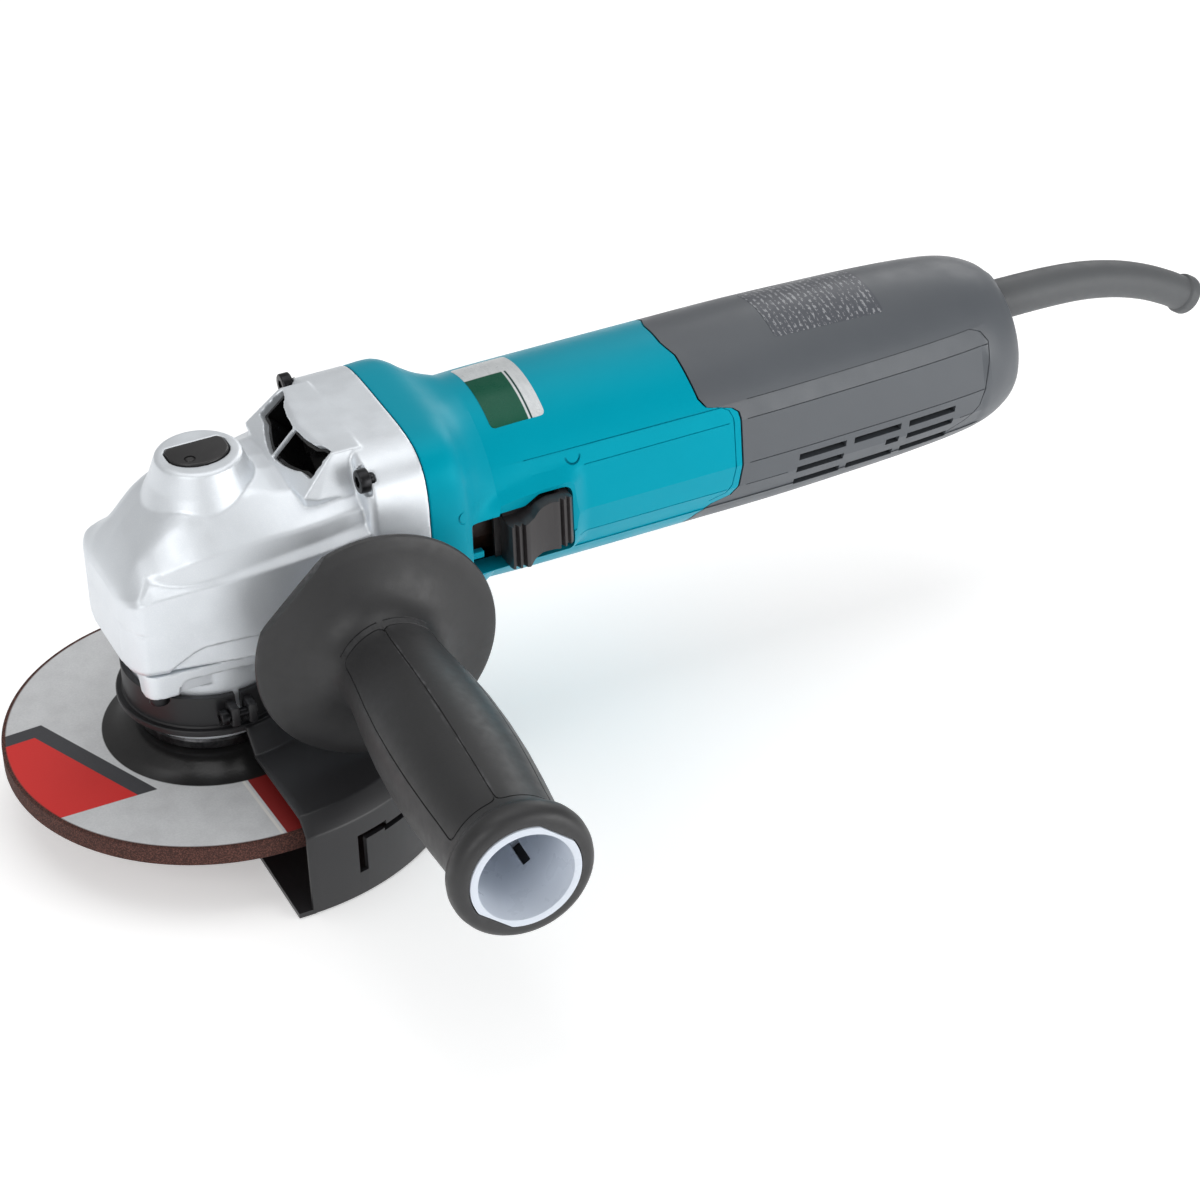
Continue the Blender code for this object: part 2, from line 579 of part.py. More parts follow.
def build_fan():
    fan = lathe("fan", [(8.0, 66.6), (24.5, 66.6), (26.4, 65.4), (26.4, 64.6), (8.0, 62.0), (8.0, 61.5), (4.7, 61.5),
                        (4.7, 71.5), (8.0, 71.5)][::-1], "black_plastic", 20, "X", (0, 0, AXIS_Z))
    blades = []
    for k in range(8):
        a = 2 * math.pi * k / 8
        radial = Vector((0, math.cos(a), math.sin(a)))
        tangent = Vector((0, -math.sin(a), math.cos(a)))
        verts = []
        for x in (65.8, 71.0):
            for r, t in ((7.0, -0.6), (25.4, 2.6), (25.4, 3.8), (7.0, 0.6)):
                verts.append(tuple(Vector((x, 0, AXIS_Z)) + radial * r + tangent * t))
        blades.append((verts, BOX_FACES))
    merge(fan, many("fan_blades", blades, "black_plastic"))


def build_stator():
    place = ("X", (0, 0, AXIS_Z))
    front, rear = STACK_X
    stator = tube("stator_core", STATOR_R, STATOR_BORE_R, front, rear, "lamination", 28, *place)
    flats = many("stator_flats", [box_piece((80, 24.6, 30), (140, 40, 110)), box_piece((80, -40, 30), (140, -24.6, 110))],
                 "lamination")
    cut(stator, flats)
    tube("field_coil_front", 24.0, 18.6, front - 7.5, front - 0.3, "copper", 24, *place)
    tube("field_coil_rear", 24.0, 18.6, rear + 0.3, rear + 7.5, "copper", 24, *place)
    tube("fan_shroud", 27.9, 16.5, 73.0, 74.6, "black_plastic", 24, *place)


def build_brushes():
    for sign, side in ((1, "top"), (-1, "bottom")):
        low, high = sorted((AXIS_Z + sign * 12.6, AXIS_Z + sign * 26.6))
        holder = block(f"brush_holder_{side}", (147.5, -5.5, low), (158.5, 5.5, high), "brass")
        well = block(f"brush_well_{side}", (149.5, -3.5, low - 1), (156.5, 3.5, high + 1), "brass")
        cut(holder, well)
        near, far = sorted((AXIS_Z + sign * 11.95, AXIS_Z + sign * 20.0))
        block(f"carbon_brush_{side}", (149.8, -3.2, near), (156.2, 3.2, far), "carbon")


def build_bearing_bridge():
    bridge = lathe("bearing_bridge", [(9.8, 175.5), (12.5, 175.5), (12.5, 166.5), (27.9, 166.5), (27.9, 162.5),
                                      (9.0, 162.5), (9.0, 167.5), (9.8, 167.5)][::-1], "black_plastic", 20,
                   "X", (0, 0, AXIS_Z))
    windows = []
    for a0 in (35, 125, 215, 305):
        a = math.radians(a0)
        windows.append(rod_piece((160.0, 20.0 * math.cos(a), AXIS_Z + 20.0 * math.sin(a)), (1, 0, 0), 5.6, 10.0, 10))
    passage = box_piece((160.0, -30.0, 59.6), (170.0, -24.4, 70.4))
    cut(bridge, many("bridge_windows", windows + [passage], "black_plastic"))


# ---------------------------------------------------------------- housings

SEAM_OUTLINE = ((145.5, 104.0), (145.6, 99.5), (147.9, 97.5), (148.3, 93.0), (148.9, 89.0), (150.3, 86.6),
                (158.8, 84.6), (160.7, 81.0), (159.8, 66.0), (159.0, 58.5), (156.5, 55.0), (151.4, 54.0),
                (146.8, 50.0), (145.0, 46.0), (144.0, 38.0), (144.0, 30.0))

BODY_STATIONS = (
    (82.0, BARREL_R - 0.3), (95.0, BARREL_R), (150.0, BARREL_R), (175.0, BARREL_R - 0.1), (200.0, 30.2),
    (222.0, 29.3), (240.0, 27.8), (251.0, 25.7), (258.0, 22.8), (262.5, 20.6), (REAR_X, 17.6),
)


def round_section(x, radius, count=28):
    return [(x, radius * math.cos(2 * math.pi * k / count), AXIS_Z + radius * math.sin(2 * math.pi * k / count))
            for k in range(count)]


def square_section(x, half_w, half_h, power, count=28):
    """A superellipse: power 2 is round, higher is squarer."""
    ring = []
    for k in range(count):
        a = 2 * math.pi * k / count
        c, s = math.cos(a), math.sin(a)
        ring.append((x, half_w * math.copysign(abs(c) ** (2 / power), c),
                     AXIS_Z + half_h * math.copysign(abs(s) ** (2 / power), s)))
    return ring


def body_loft(name, look, first, last):
    rings = []
    if first < 80:
        rings += [square_section(SEAM_X + GAP, FRONT_HALF_W, FRONT_HALF_H, 7.0),
                  square_section(68.0, FRONT_HALF_W, FRONT_HALF_H, 7.0),
                  square_section(74.0, 33.2, 31.8, 3.4), square_section(78.5, 31.2, 30.8, 2.3)]
    rings += [round_section(x, r) for x, r in BODY_STATIONS if first <= x <= last]
    return loft(name, rings, look)


def build_motor_housing():
    housing = body_loft("motor_housing", "teal", 0, 175)
    bore = lathe("motor_bore", [(0, 180.0), (BORE_R, 180.0), (BORE_R, 72.8), (29.2, 72.8), (29.2, 50.0), (0, 50.0)],
                 "teal", 32, "X", (0, 0, AXIS_Z))
    tail = list(SEAM_OUTLINE) + [(200.0, 30.0), (200.0, 104.0)]
    behind = prism("motor_housing_tail", tail, -40.0, 40.0, "teal", "Y")
    cut(housing, bore, behind)
    slot = block("switch_slot", (SLOT_X[0], -45.0, SLOT_Z[0]), (SLOT_X[1], -20.0, SLOT_Z[1]), "teal")
    threads = many("housing_taps", [rod_piece((55.0, y, z), (1, 0, 0), 1.95, 15.0, 12) for y, z in flange_corners()],
                   "teal")
    cut(housing, slot, threads)


def build_rear_housing():
    housing = body_loft("rear_housing", "grey_plastic", 95, 300)
    inner = [round_section(x, r - 2.6) for x, r in BODY_STATIONS if 150 <= x <= 251]
    inner[0] = round_section(90.0, BORE_R)
    inner.insert(1, round_section(150.0, BORE_R))
    inner.append(round_section(256.0, 20.8))
    inner.append(round_section(260.0, 16.5))
    hollow = loft("rear_hollow", inner, "grey_plastic")
    head = [(x + GAP, z) for x, z in SEAM_OUTLINE]
    head += [(60.0, 30.0), (60.0, 104.0)]
    ahead = prism("rear_housing_head", head, -40.0, 40.0, "grey_plastic", "Y")
    vents = []
    for z in VENT_ROWS:
        for x0, x1 in VENT_SPANS:
            vents.append(box_piece((x0, -40.0, z - VENT_HEIGHT / 2), (x1, 40.0, z + VENT_HEIGHT / 2)))
    outlet = many("cord_outlet", [rod_piece((245.0, 0, CORD_Z), (1, 0, 0), 6.6, 30.0, 20)], "grey_plastic")
    cut(housing, hollow, ahead, many("vent_slots", vents, "grey_plastic"), outlet)


def build_switch():
    x0, x1 = KNOB_X
    z0, z1 = KNOB_Z
    outline = [(x0, -26.6), (x0, -35.6), (x0 + 1.6, -37.2), (x0 + 4.4, -37.4), (x0 + 7.0, -36.0), (x1 - 7.0, -36.0),
               (x1 - 4.4, -37.4), (x1 - 1.6, -37.2), (x1, -35.6), (x1, -26.6)]
    knob = prism("switch_knob", outline, z0, z1, "black_plastic", "Z", ((x0 + x1) / 2, -32.0, 65.0))
    stop = (x0 + x1) / 2
    rod = block("switch_rod", (stop - 7.0, -26.3, 63.0), (186.0, -25.1, 69.0), "black_plastic")
    block("switch_unit", (188.5, -22.0, 55.5), (214.0, -6.0, 77.0), "black_plastic", 0.8)
    block("speed_controller", (186.0, 1.0, 54.0), (220.0, 20.0, 80.0), "black_plastic", 0.8)
    return knob, rod


def build_cord_guard():
    path = [(252.0, CORD_Z, 8.6), (254.6, CORD_Z, 8.6), (254.9, CORD_Z, 6.35), (266.0, CORD_Z, 6.35),
            (280.0, CORD_Z - 0.3, 6.2), (293.0, CORD_Z - 1.4, 6.0), (305.0, CORD_Z - 4.0, 5.8),
            (315.5, CORD_Z - 7.8, 5.6), (324.5, CORD_Z - 12.4, 5.5), (329.6, CORD_Z - 15.6, 5.5),
            (330.2, CORD_Z - 16.0, 6.3), (332.6, CORD_Z - 17.6, 6.3)]
    sides = 16
    outer, inner = [], []
    for index, (x, z, radius) in enumerate(path):
        before = Vector((path[max(index - 1, 0)][0], path[max(index - 1, 0)][1]))
        after = Vector((path[min(index + 1, len(path) - 1)][0], path[min(index + 1, len(path) - 1)][1]))
        tangent = (after - before).normalized()
        normal = Vector((-tangent.y, tangent.x))
        for ring, r in ((outer, radius), (inner, CORD_R)):
            ring.append([(x + normal.x * r * math.sin(a), r * math.cos(a), z + normal.y * r * math.sin(a))
                         for a in [2 * math.pi * k / sides for k in range(sides)]])
    guard = loft("cord_guard", outer + inner[::-1], "rubber", True)
    clamp = block("cord_clamp", (240.0, -9.0, 74.0), (248.0, 9.0, 84.0), "black_plastic", 0.6)
    hole = many("cord_clamp_hole", [rod_piece((235.0, 0, CORD_Z), (1, 0, 0), 3.4, 20.0, 16)], "black_plastic")
    cut(clamp, hole)
    return guard


# ---------------------------------------------------------------- side grip

def grip_matrix():
    """Local +Z runs from the boss outwards along the grip."""
    cant = math.radians(GRIP_CANT)
    outward = Vector((-math.sin(cant), -math.cos(cant), 0))
    up = Vector((0, 0, 1))
    side = up.cross(outward)
    turn = Matrix((side, up, outward)).transposed().to_4x4()
    return Matrix.Translation(mm(*GRIP_BASE)) @ turn


def build_grip():
    grip = lathe("grip_rubber", [
        (17.4, GRIP_LENGTH), (19.6, GRIP_LENGTH), (20.4, GRIP_LENGTH - 1.2), (20.4, GRIP_LENGTH - 4.5),
        (17.0, GRIP_LENGTH - 11.0), (18.6, 88.0), (18.6, 66.0), (15.6, 33.0), (15.4, 28.0), (17.6, 22.6),
        (22.5, 18.6), (GRIP_FLANGE_R - 1.0, 15.6), (GRIP_FLANGE_R, 14.6), (GRIP_FLANGE_R, 13.2),
        (GRIP_FLANGE_R - 1.0, 12.4), (14.5, 8.6), (14.5, 26.0),
        (12.9, 30.0), (12.9, 60.0), (15.2, GRIP_LENGTH - 22.0), (17.4, GRIP_LENGTH - 12.0)], "rubber", 24)
    grip.matrix_world = grip_matrix()
    flat = block("grip_flange_flat", (-60.0, -60.0, 0.0), (-23.0, 60.0, 24.0), "rubber", 0.0, (0, 0, 0))
    flat.matrix_world = grip_matrix() @ Matrix.Rotation(math.radians(-45), 4, "Z") @ Matrix.Translation(mm(-8.0, 0, 0))
    cut(grip, flat)
    core = lathe("grip_core", [
        (17.1, GRIP_LENGTH + 0.4), (17.1, GRIP_LENGTH - 11.9), (14.9, GRIP_LENGTH - 22.0), (12.6, 60.0), (12.6, 29.9),
        (14.2, 25.9), (14.2, 1.0), (5.4, 1.0), (5.4, 24.2), (10.6, 24.2), (10.6, 60.0), (13.0, GRIP_LENGTH - 22.0),
        (15.3, GRIP_LENGTH - 12.0), (15.3, GRIP_LENGTH + 0.4)], "white_plastic", 20)
    core.matrix_world = grip_matrix()
    stud = lathe("grip_stud", [(0, 30.0), (4.6, 30.0), (4.6, 26.0), (5.0, 24.6), (5.0, -11.0), (4.0, -12.0), (0, -12.0)],
                 "zinc", 16)
    stud.matrix_world = grip_matrix()
    hexagon = many("grip_stud_head", [rod_piece((0, 0, 24.5), (0, 0, 1), 7.6, 4.9, 6)], "zinc")
    hexagon.matrix_world = grip_matrix()
    merge(stud, hexagon)


def main():
    for obj in list(bpy.context.scene.objects):
        bpy.data.objects.remove(obj, do_unlink=True)
    build_gear_housing()
    build_lock_button()
    build_head_details()
    build_bearing_cover()
    build_spindle()
    build_gears()
    build_guard()
    build_armature()
    build_stator()
    build_brushes()
    build_bearing_bridge()
    build_motor_housing()
    build_rear_housing()
    build_switch()
    build_cord_guard()
    build_grip()


main()
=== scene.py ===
"""Studio scene of the corded angle grinder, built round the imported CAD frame.

Row frame: +Z up the spindle axis, +X along the motor towards the cord guard, -Y towards the side grip.
Lengths in the builders are millimetres; mm() turns them into metres.
"""

import math

import bmesh
import bpy
from mathutils import Matrix, Vector


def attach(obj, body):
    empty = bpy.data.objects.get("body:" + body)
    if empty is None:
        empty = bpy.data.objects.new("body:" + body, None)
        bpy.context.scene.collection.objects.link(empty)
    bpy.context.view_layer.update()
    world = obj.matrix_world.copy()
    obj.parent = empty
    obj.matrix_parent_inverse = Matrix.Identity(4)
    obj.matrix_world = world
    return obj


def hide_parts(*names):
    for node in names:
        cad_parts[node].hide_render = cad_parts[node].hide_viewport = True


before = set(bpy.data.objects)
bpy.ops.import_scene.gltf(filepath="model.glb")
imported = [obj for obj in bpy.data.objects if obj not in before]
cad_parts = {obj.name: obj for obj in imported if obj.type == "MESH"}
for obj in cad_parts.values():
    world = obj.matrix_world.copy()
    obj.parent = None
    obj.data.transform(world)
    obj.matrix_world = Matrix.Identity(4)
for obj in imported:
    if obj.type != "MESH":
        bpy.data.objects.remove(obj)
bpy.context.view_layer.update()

MM = 0.001
AXIS_Z = 69.0
SEAM_X = 59.0
DOME_X = 3.6
BARREL_R = 31.0
GRIP_BASE = (35.5, -34.8, 54.5)
GRIP_CANT = 3.0
GRIP_LENGTH = 130.0


# ---------------------------------------------------------------- mesh tools

def mm(*values):
    return Vector([value * MM for value in values])


def make(name, verts, faces, scale=MM):
    """A mesh object from points in millimetres, with its faces turned outwards."""
    mesh = bpy.data.meshes.new(name)
    mesh.from_pydata([Vector(v) * scale for v in verts], [], faces)
    bm = bmesh.new()
    bm.from_mesh(mesh)
    bmesh.ops.recalc_face_normals(bm, faces=bm.faces)
    bm.to_mesh(mesh)
    bm.free()
    obj = bpy.data.objects.new(name, mesh)
    bpy.context.scene.collection.objects.link(obj)
    return obj


def skin(name, rings, closed=False):
    """A skin over rings of equal point count, capped at both ends unless it closes on itself."""
    count = len(rings[0])
    verts = [point for ring in rings for point in ring]
    faces = []
    for k in range(len(rings) if closed else len(rings) - 1):
        a, b = k * count, (k + 1) % len(rings) * count
        for i in range(count):
            j = (i + 1) % count
            faces.append((a + i, a + j, b + j, b + i))
    if not closed:
        faces.append(tuple(range(count)))
        faces.append(tuple(range((len(rings) - 1) * count, len(rings) * count)))
    return make(name, verts, faces)


def lathe(name, profile, steps=96, axis="Z", origin=(0, 0, 0), matrix=None):
    """A turned piece from a closed profile of (radius, height) points; points on the axis become poles."""
    verts, rings, faces = [], [], []
    for r, h in profile:
        if r == 0:
            rings.append([len(verts)] * steps)
            verts.append((0, 0, h))
        else:
            rings.append(list(range(len(verts), len(verts) + steps)))
            verts += [(r * math.cos(2 * math.pi * k / steps), r * math.sin(2 * math.pi * k / steps), h)
                      for k in range(steps)]
    open_ended = profile[0][0] == 0 and profile[-1][0] == 0
    for k in range(len(rings) - 1 if open_ended else len(rings)):
        a, b = rings[k], rings[(k + 1) % len(rings)]
        for i in range(steps):
            j = (i + 1) % steps
            face = []
            for v in (a[i], a[j], b[j], b[i]):
                if v not in face:
                    face.append(v)
            if len(face) > 2:
                faces.append(tuple(face))
    obj = make(name, verts, faces)
    turn = {"Z": Matrix.Identity(4), "X": Matrix.Rotation(math.radians(90), 4, "Y"),
            "Y": Matrix.Rotation(math.radians(-90), 4, "X")}[axis]
    place(obj, matrix or Matrix.Translation(mm(*origin)) @ turn)
    return obj


def place(obj, matrix):
    """Carries a transform into the mesh, so that the object stays at the origin."""
    obj.data.transform(matrix)
    obj.data.update()
    return obj


def prism(name, outline, low, high, axis="Z"):
    lay = {"Z": lambda p, t: (p[0], p[1], t), "Y": lambda p, t: (p[0], t, p[1]),
           "X": lambda p, t: (t, p[0], p[1])}[axis]
    return skin(name, [[lay(p, t) for p in outline] for t in (low, high)])


def block(name, low, high):
    (x0, y0, z0), (x1, y1, z1) = low, high
    return prism(name, [(x0, y0), (x1, y0), (x1, y1), (x0, y1)], z0, z1)


def rod(name, point, direction, radius, length, sides=32, end_radius=None):
    """A cylinder or cone from a point along a direction."""
    direction = Vector(direction).normalized()
    side = direction.orthogonal().normalized()
    other = direction.cross(side)
    rings = []
    for t, r in ((0, radius), (length, radius if end_radius is None else end_radius)):
        centre = Vector(point) + direction * t
        rings.append([tuple(centre + (side * math.cos(a) + other * math.sin(a)) * r)
                      for a in [2 * math.pi * k / sides for k in range(sides)]])
    return skin(name, rings)


def fillet(points, radii, count=6):
    """A polygon with each corner replaced by an arc of the given radius."""
    result = []
    size = len(points)
    for i, corner in enumerate(points):
        before, after = Vector(points[i - 1]), Vector(points[(i + 1) % size])
        corner = Vector(corner)
        u, v = (before - corner), (after - corner)
        radius = radii[i] if isinstance(radii, (list, tuple)) else radii
        half = u.angle(v) / 2
        reach = min(radius / math.tan(half), 0.45 * u.length, 0.45 * v.length)
        a, b = corner + u.normalized() * reach, corner + v.normalized() * reach
        for k in range(count):
            t = k / (count - 1)
            result.append(tuple(a * (1 - t) ** 2 + corner * 2 * t * (1 - t) + b * t ** 2))
    return result


def apply(obj):
    """Turns the modifier stack into the mesh."""
    graph = bpy.context.evaluated_depsgraph_get()
    mesh = bpy.data.meshes.new_from_object(obj.evaluated_get(graph))
    obj.modifiers.clear()
    obj.data = mesh
    return obj


def combine(target, operation, *tools):
    for tool in tools:
        modifier = target.modifiers.new("boolean", "BOOLEAN")
        modifier.operation = operation
        modifier.solver = "EXACT"
        modifier.object = tool
        apply(target)
        bpy.data.objects.remove(tool, do_unlink=True)
    return target


def cut(target, *tools):
    return combine(target, "DIFFERENCE", *tools)


def join(target, *tools):
    return combine(target, "UNION", *tools)


def bevel(obj, width, segments=2, angle=30):
    modifier = obj.modifiers.new("bevel", "BEVEL")
    modifier.width = width * MM
    modifier.segments = segments
    modifier.limit_method = "ANGLE"
    modifier.angle_limit = math.radians(angle)
    modifier.harden_normals = False
    return apply(obj)


def cast(obj, voxel, smoothing=4, factor=0.5):
    """Remeshes a piece into a casting with soft edges."""
    remesh = obj.modifiers.new("remesh", "REMESH")
    remesh.mode = "VOXEL"
    remesh.voxel_size = voxel * MM
    smooth = obj.modifiers.new("smooth", "SMOOTH")
    smooth.iterations = smoothing
    smooth.factor = factor
    return apply(obj)


def shade(obj, angle=30):
    mesh = obj.data
    mesh.polygons.foreach_set("use_smooth", [True] * len(mesh.polygons))
    mesh.set_sharp_from_angle(angle=math.radians(angle))
    return obj


def piece(obj, body, material, nodes=(), angle=30):
    """A finished piece: shaded, painted, riding a body and standing for CAD nodes."""
    shade(obj, angle)
    obj.data.materials.clear()
    obj.data.materials.append(material)
    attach(obj, body)
    if nodes:
        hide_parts(*nodes)
    return obj


# ---------------------------------------------------------------- materials

def linear(red, green, blue):
    """A screen colour of 0 to 255 as linear light."""
    values = [value / 255 for value in (red, green, blue)]
    return tuple(v / 12.92 if v <= 0.04045 else ((v + 0.055) / 1.055) ** 2.4 for v in values)


class Look:
    """A node material under construction."""

    def __init__(self, name):
        self.material = bpy.data.materials.new(name)
        self.material.use_nodes = True
        self.nodes = self.material.node_tree.nodes
        self.links = self.material.node_tree.links
        self.shader = self.nodes["Principled BSDF"]
        self.space = self.nodes.new("ShaderNodeTexCoord").outputs["Object"]

    def set(self, **values):
        for key, value in values.items():
            self.shader.inputs[key.replace("_", " ")].default_value = value
        return self

    def noise(self, scale, detail=4.0, rough=0.55, stretch=None):
        node = self.nodes.new("ShaderNodeTexNoise")
        node.inputs["Scale"].default_value = scale
        node.inputs["Detail"].default_value = detail
        node.inputs["Roughness"].default_value = rough
        space = self.space
        if stretch:
            mapping = self.nodes.new("ShaderNodeMapping")
            mapping.inputs["Scale"].default_value = stretch
            self.links.new(space, mapping.inputs["Vector"])
            space = mapping.outputs["Vector"]
        self.links.new(space, node.inputs["Vector"])
        return node.outputs["Fac"]

    def cells(self, scale, feature="F1"):
        node = self.nodes.new("ShaderNodeTexVoronoi")
        node.feature = feature
        node.inputs["Scale"].default_value = scale
        self.links.new(self.space, node.inputs["Vector"])
        return node.outputs["Distance"], node.outputs["Color"]

    def span(self, value, low, high, to_low=0.0, to_high=1.0, smooth=False):
        node = self.nodes.new("ShaderNodeMapRange")
        node.interpolation_type = "SMOOTHSTEP" if smooth else "LINEAR"
        for key, number in zip(("From Min", "From Max", "To Min", "To Max"), (low, high, to_low, to_high)):
            node.inputs[key].default_value = number
        self.links.new(value, node.inputs["Value"])
        return node.outputs["Result"]

    def mix(self, factor, a, b):
        node = self.nodes.new("ShaderNodeMix")
        node.data_type = "RGBA"
        self.links.new(factor, node.inputs["Factor"])
        for socket, value in ((node.inputs["A"], a), (node.inputs["B"], b)):
            if isinstance(value, tuple):
                socket.default_value = (*value, 1.0) if len(value) == 3 else value
            else:
                self.links.new(value, socket)
        return node.outputs["Result"]

    def math(self, operation, a, b=None):
        node = self.nodes.new("ShaderNodeMath")
        node.operation = operation
        for socket, value in zip(node.inputs, (a, b)):
            if value is None:
                continue
            if isinstance(value, (int, float)):
                socket.default_value = value
            else:
                self.links.new(value, socket)
        return node.outputs["Value"]

    def axes(self):
        node = self.nodes.new("ShaderNodeSeparateXYZ")
        self.links.new(self.space, node.inputs["Vector"])
        return node.outputs["X"], node.outputs["Y"], node.outputs["Z"]

    def edges(self, low=0.52, high=0.62):
        """1 on convex edges, 0 elsewhere."""
        node = self.nodes.new("ShaderNodeNewGeometry")
        return self.span(node.outputs["Pointiness"], low, high)

    def colour(self, value):
        self.links.new(value, self.shader.inputs["Base Color"])
        return self

    def roughness(self, value):
        self.links.new(value, self.shader.inputs["Roughness"])
        return self

    def metallic(self, value):
        self.links.new(value, self.shader.inputs["Metallic"])
        return self

    def bump(self, height, strength, distance, below=None):
        node = self.nodes.new("ShaderNodeBump")
        node.inputs["Strength"].default_value = strength
        node.inputs["Distance"].default_value = distance * MM
        self.links.new(height, node.inputs["Height"])
        if below is not None:
            self.links.new(below, node.inputs["Normal"])
        self.links.new(node.outputs["Normal"], self.shader.inputs["Normal"])
        return node.outputs["Normal"]


def tone(colour, factor):
    return tuple(min(1.0, c * factor) for c in colour)


def plain(name, colour, rough, metallic=0.0, vary=0.06, vary_scale=90.0, grain_scale=2600.0, grain=0.25,
          grain_depth=0.03, rough_spread=0.06, wear=None, wear_low=0.53, wear_high=0.66, **sockets):
    """The common recipe: mottled colour, fine grain, uneven gloss and, if asked, paler edges."""
    look = Look(name)
    look.set(Metallic=metallic, **sockets)
    tint = look.mix(look.noise(vary_scale, 5.0), tone(colour, 1 - vary), tone(colour, 1 + vary))
    if wear:
        worn = look.math("MULTIPLY", look.edges(wear_low, wear_high), look.span(look.noise(450.0, 3.0), 0.35, 0.6))
        tint = look.mix(worn, tint, wear)
    look.colour(tint)
    look.roughness(look.span(look.noise(vary_scale * 2.3, 4.0), 0.3, 0.7, rough - rough_spread, rough + rough_spread))
    look.bump(look.noise(grain_scale, 2.0), grain, grain_depth)
    return look.material


def die_cast():
    look = Look("die_cast_alloy")
    look.set(Metallic=0.60, Specular_IOR_Level=0.6)
    base = linear(231, 236, 241)
    tint = look.mix(look.noise(60.0, 5.0), tone(base, 0.95), tone(base, 1.04))
    sparkle = look.math("MULTIPLY", look.span(look.noise(4200.0, 1.0), 0.50, 0.72), 0.45)
    tint = look.mix(sparkle, tint, linear(246, 248, 250))
    tint = look.mix(look.math("MULTIPLY", look.edges(0.53, 0.66), 0.6), tint, linear(248, 249, 250))
    look.colour(tint)
    look.roughness(look.span(look.noise(140.0, 4.0), 0.3, 0.7, 0.40, 0.52))
    fine = look.bump(look.noise(3000.0, 2.0), 0.28, 0.035)
    look.bump(look.noise(260.0, 3.0), 0.10, 0.10, fine)
    return look.material


def abrasive():
    """The wheel: gritty resin at the rim, a printed paper label on top and a black raised centre."""
    look = Look("grinding_wheel_print")
    x, y, z = look.axes()
    radius = look.math("SQRT", look.math("ADD", look.math("MULTIPLY", x, x), look.math("MULTIPLY", y, y)))
    grain, cell = look.cells(1500.0)
    speck = look.span(look.noise(2200.0, 2.0), 0.45, 0.62)
    grit = look.mix(speck, linear(60, 34, 29), linear(100, 62, 53))
    grit = look.mix(look.span(grain, 0.0, 0.35), linear(46, 27, 24), grit)
    paper = look.mix(look.noise(1700.0, 3.0), linear(196, 198, 200), linear(222, 223, 224))
    paper = look.mix(look.span(look.noise(130.0, 4.0), 0.42, 0.75, 0.0, 0.35), paper, linear(176, 176, 178))

    def side(nx, ny, offset, soft=0.12):
        """1 where nx*x + ny*y is beyond the offset, in millimetres."""
        value = look.math("ADD", look.math("MULTIPLY", x, nx), look.math("MULTIPLY", y, ny))
        return look.span(value, (offset - soft) * MM, (offset + soft) * MM)

    def band(a, b, *more):
        """The strip on the far side of one line and the near side of the next."""
        mask = look.math("MULTIPLY", side(*a), look.math("SUBTRACT", 1.0, side(*b)))
        for extra in more:
            mask = look.math("MULTIPLY", mask, side(*extra))
        return mask

    grey_panel = look.math("MULTIPLY", side(-0.917, -0.399, 34.4), look.math("SUBTRACT", 1.0, side(-0.05, 0.9988, 23.2)))
    red_panel = look.math("MULTIPLY", side(-0.917, -0.399, 39.9), look.math("SUBTRACT", 1.0, side(-0.05, 0.9988, 18.2)))
    low_edge = side(0.0, 1.0, -24.8)
    tint = look.mix(look.math("MULTIPLY", grey_panel, low_edge), paper, linear(60, 60, 64))
    tint = look.mix(look.math("MULTIPLY", red_panel, low_edge), tint, linear(214, 38, 34))
    stripe = band((0.9992, 0.04, -5.1), (0.9992, 0.04, -4.2), (0.0, -1.0, 30.0))
    tint = look.mix(stripe, tint, linear(228, 226, 222))
    block_red = band((0.9992, 0.04, -3.4), (0.9992, 0.04, 30.0), (0.0, -1.0, 30.0))
    tint = look.mix(block_red, tint, linear(138, 32, 30))

    top = look.span(z, 8.4 * MM, 8.8 * MM)
    printed = look.math("MULTIPLY", top, look.math("SUBTRACT", 1.0, look.span(radius, 61.0 * MM, 61.5 * MM)))
    tint = look.mix(printed, grit, tint)
    centre = look.math("MULTIPLY", top, look.math("SUBTRACT", 1.0, look.span(radius, 32.9 * MM, 33.2 * MM)))
    black = look.mix(look.noise(300.0, 4.0), linear(22, 22, 23), linear(38, 37, 37))
    look.colour(look.mix(centre, tint, black))
    flat = look.math("MAXIMUM", printed, centre)
    gloss = look.math("SUBTRACT", look.span(flat, 0.0, 1.0, 0.93, 0.52), look.span(centre, 0.0, 1.0, 0.0, 0.24))
    look.roughness(gloss)
    height = look.math("MULTIPLY", look.math("ADD", look.math("MULTIPLY", grain, 0.8), look.noise(1800.0, 3.0)),
                       look.span(flat, 0.0, 1.0, 1.0, 0.10))
    look.bump(height, 0.7, 0.25)
    return look.material


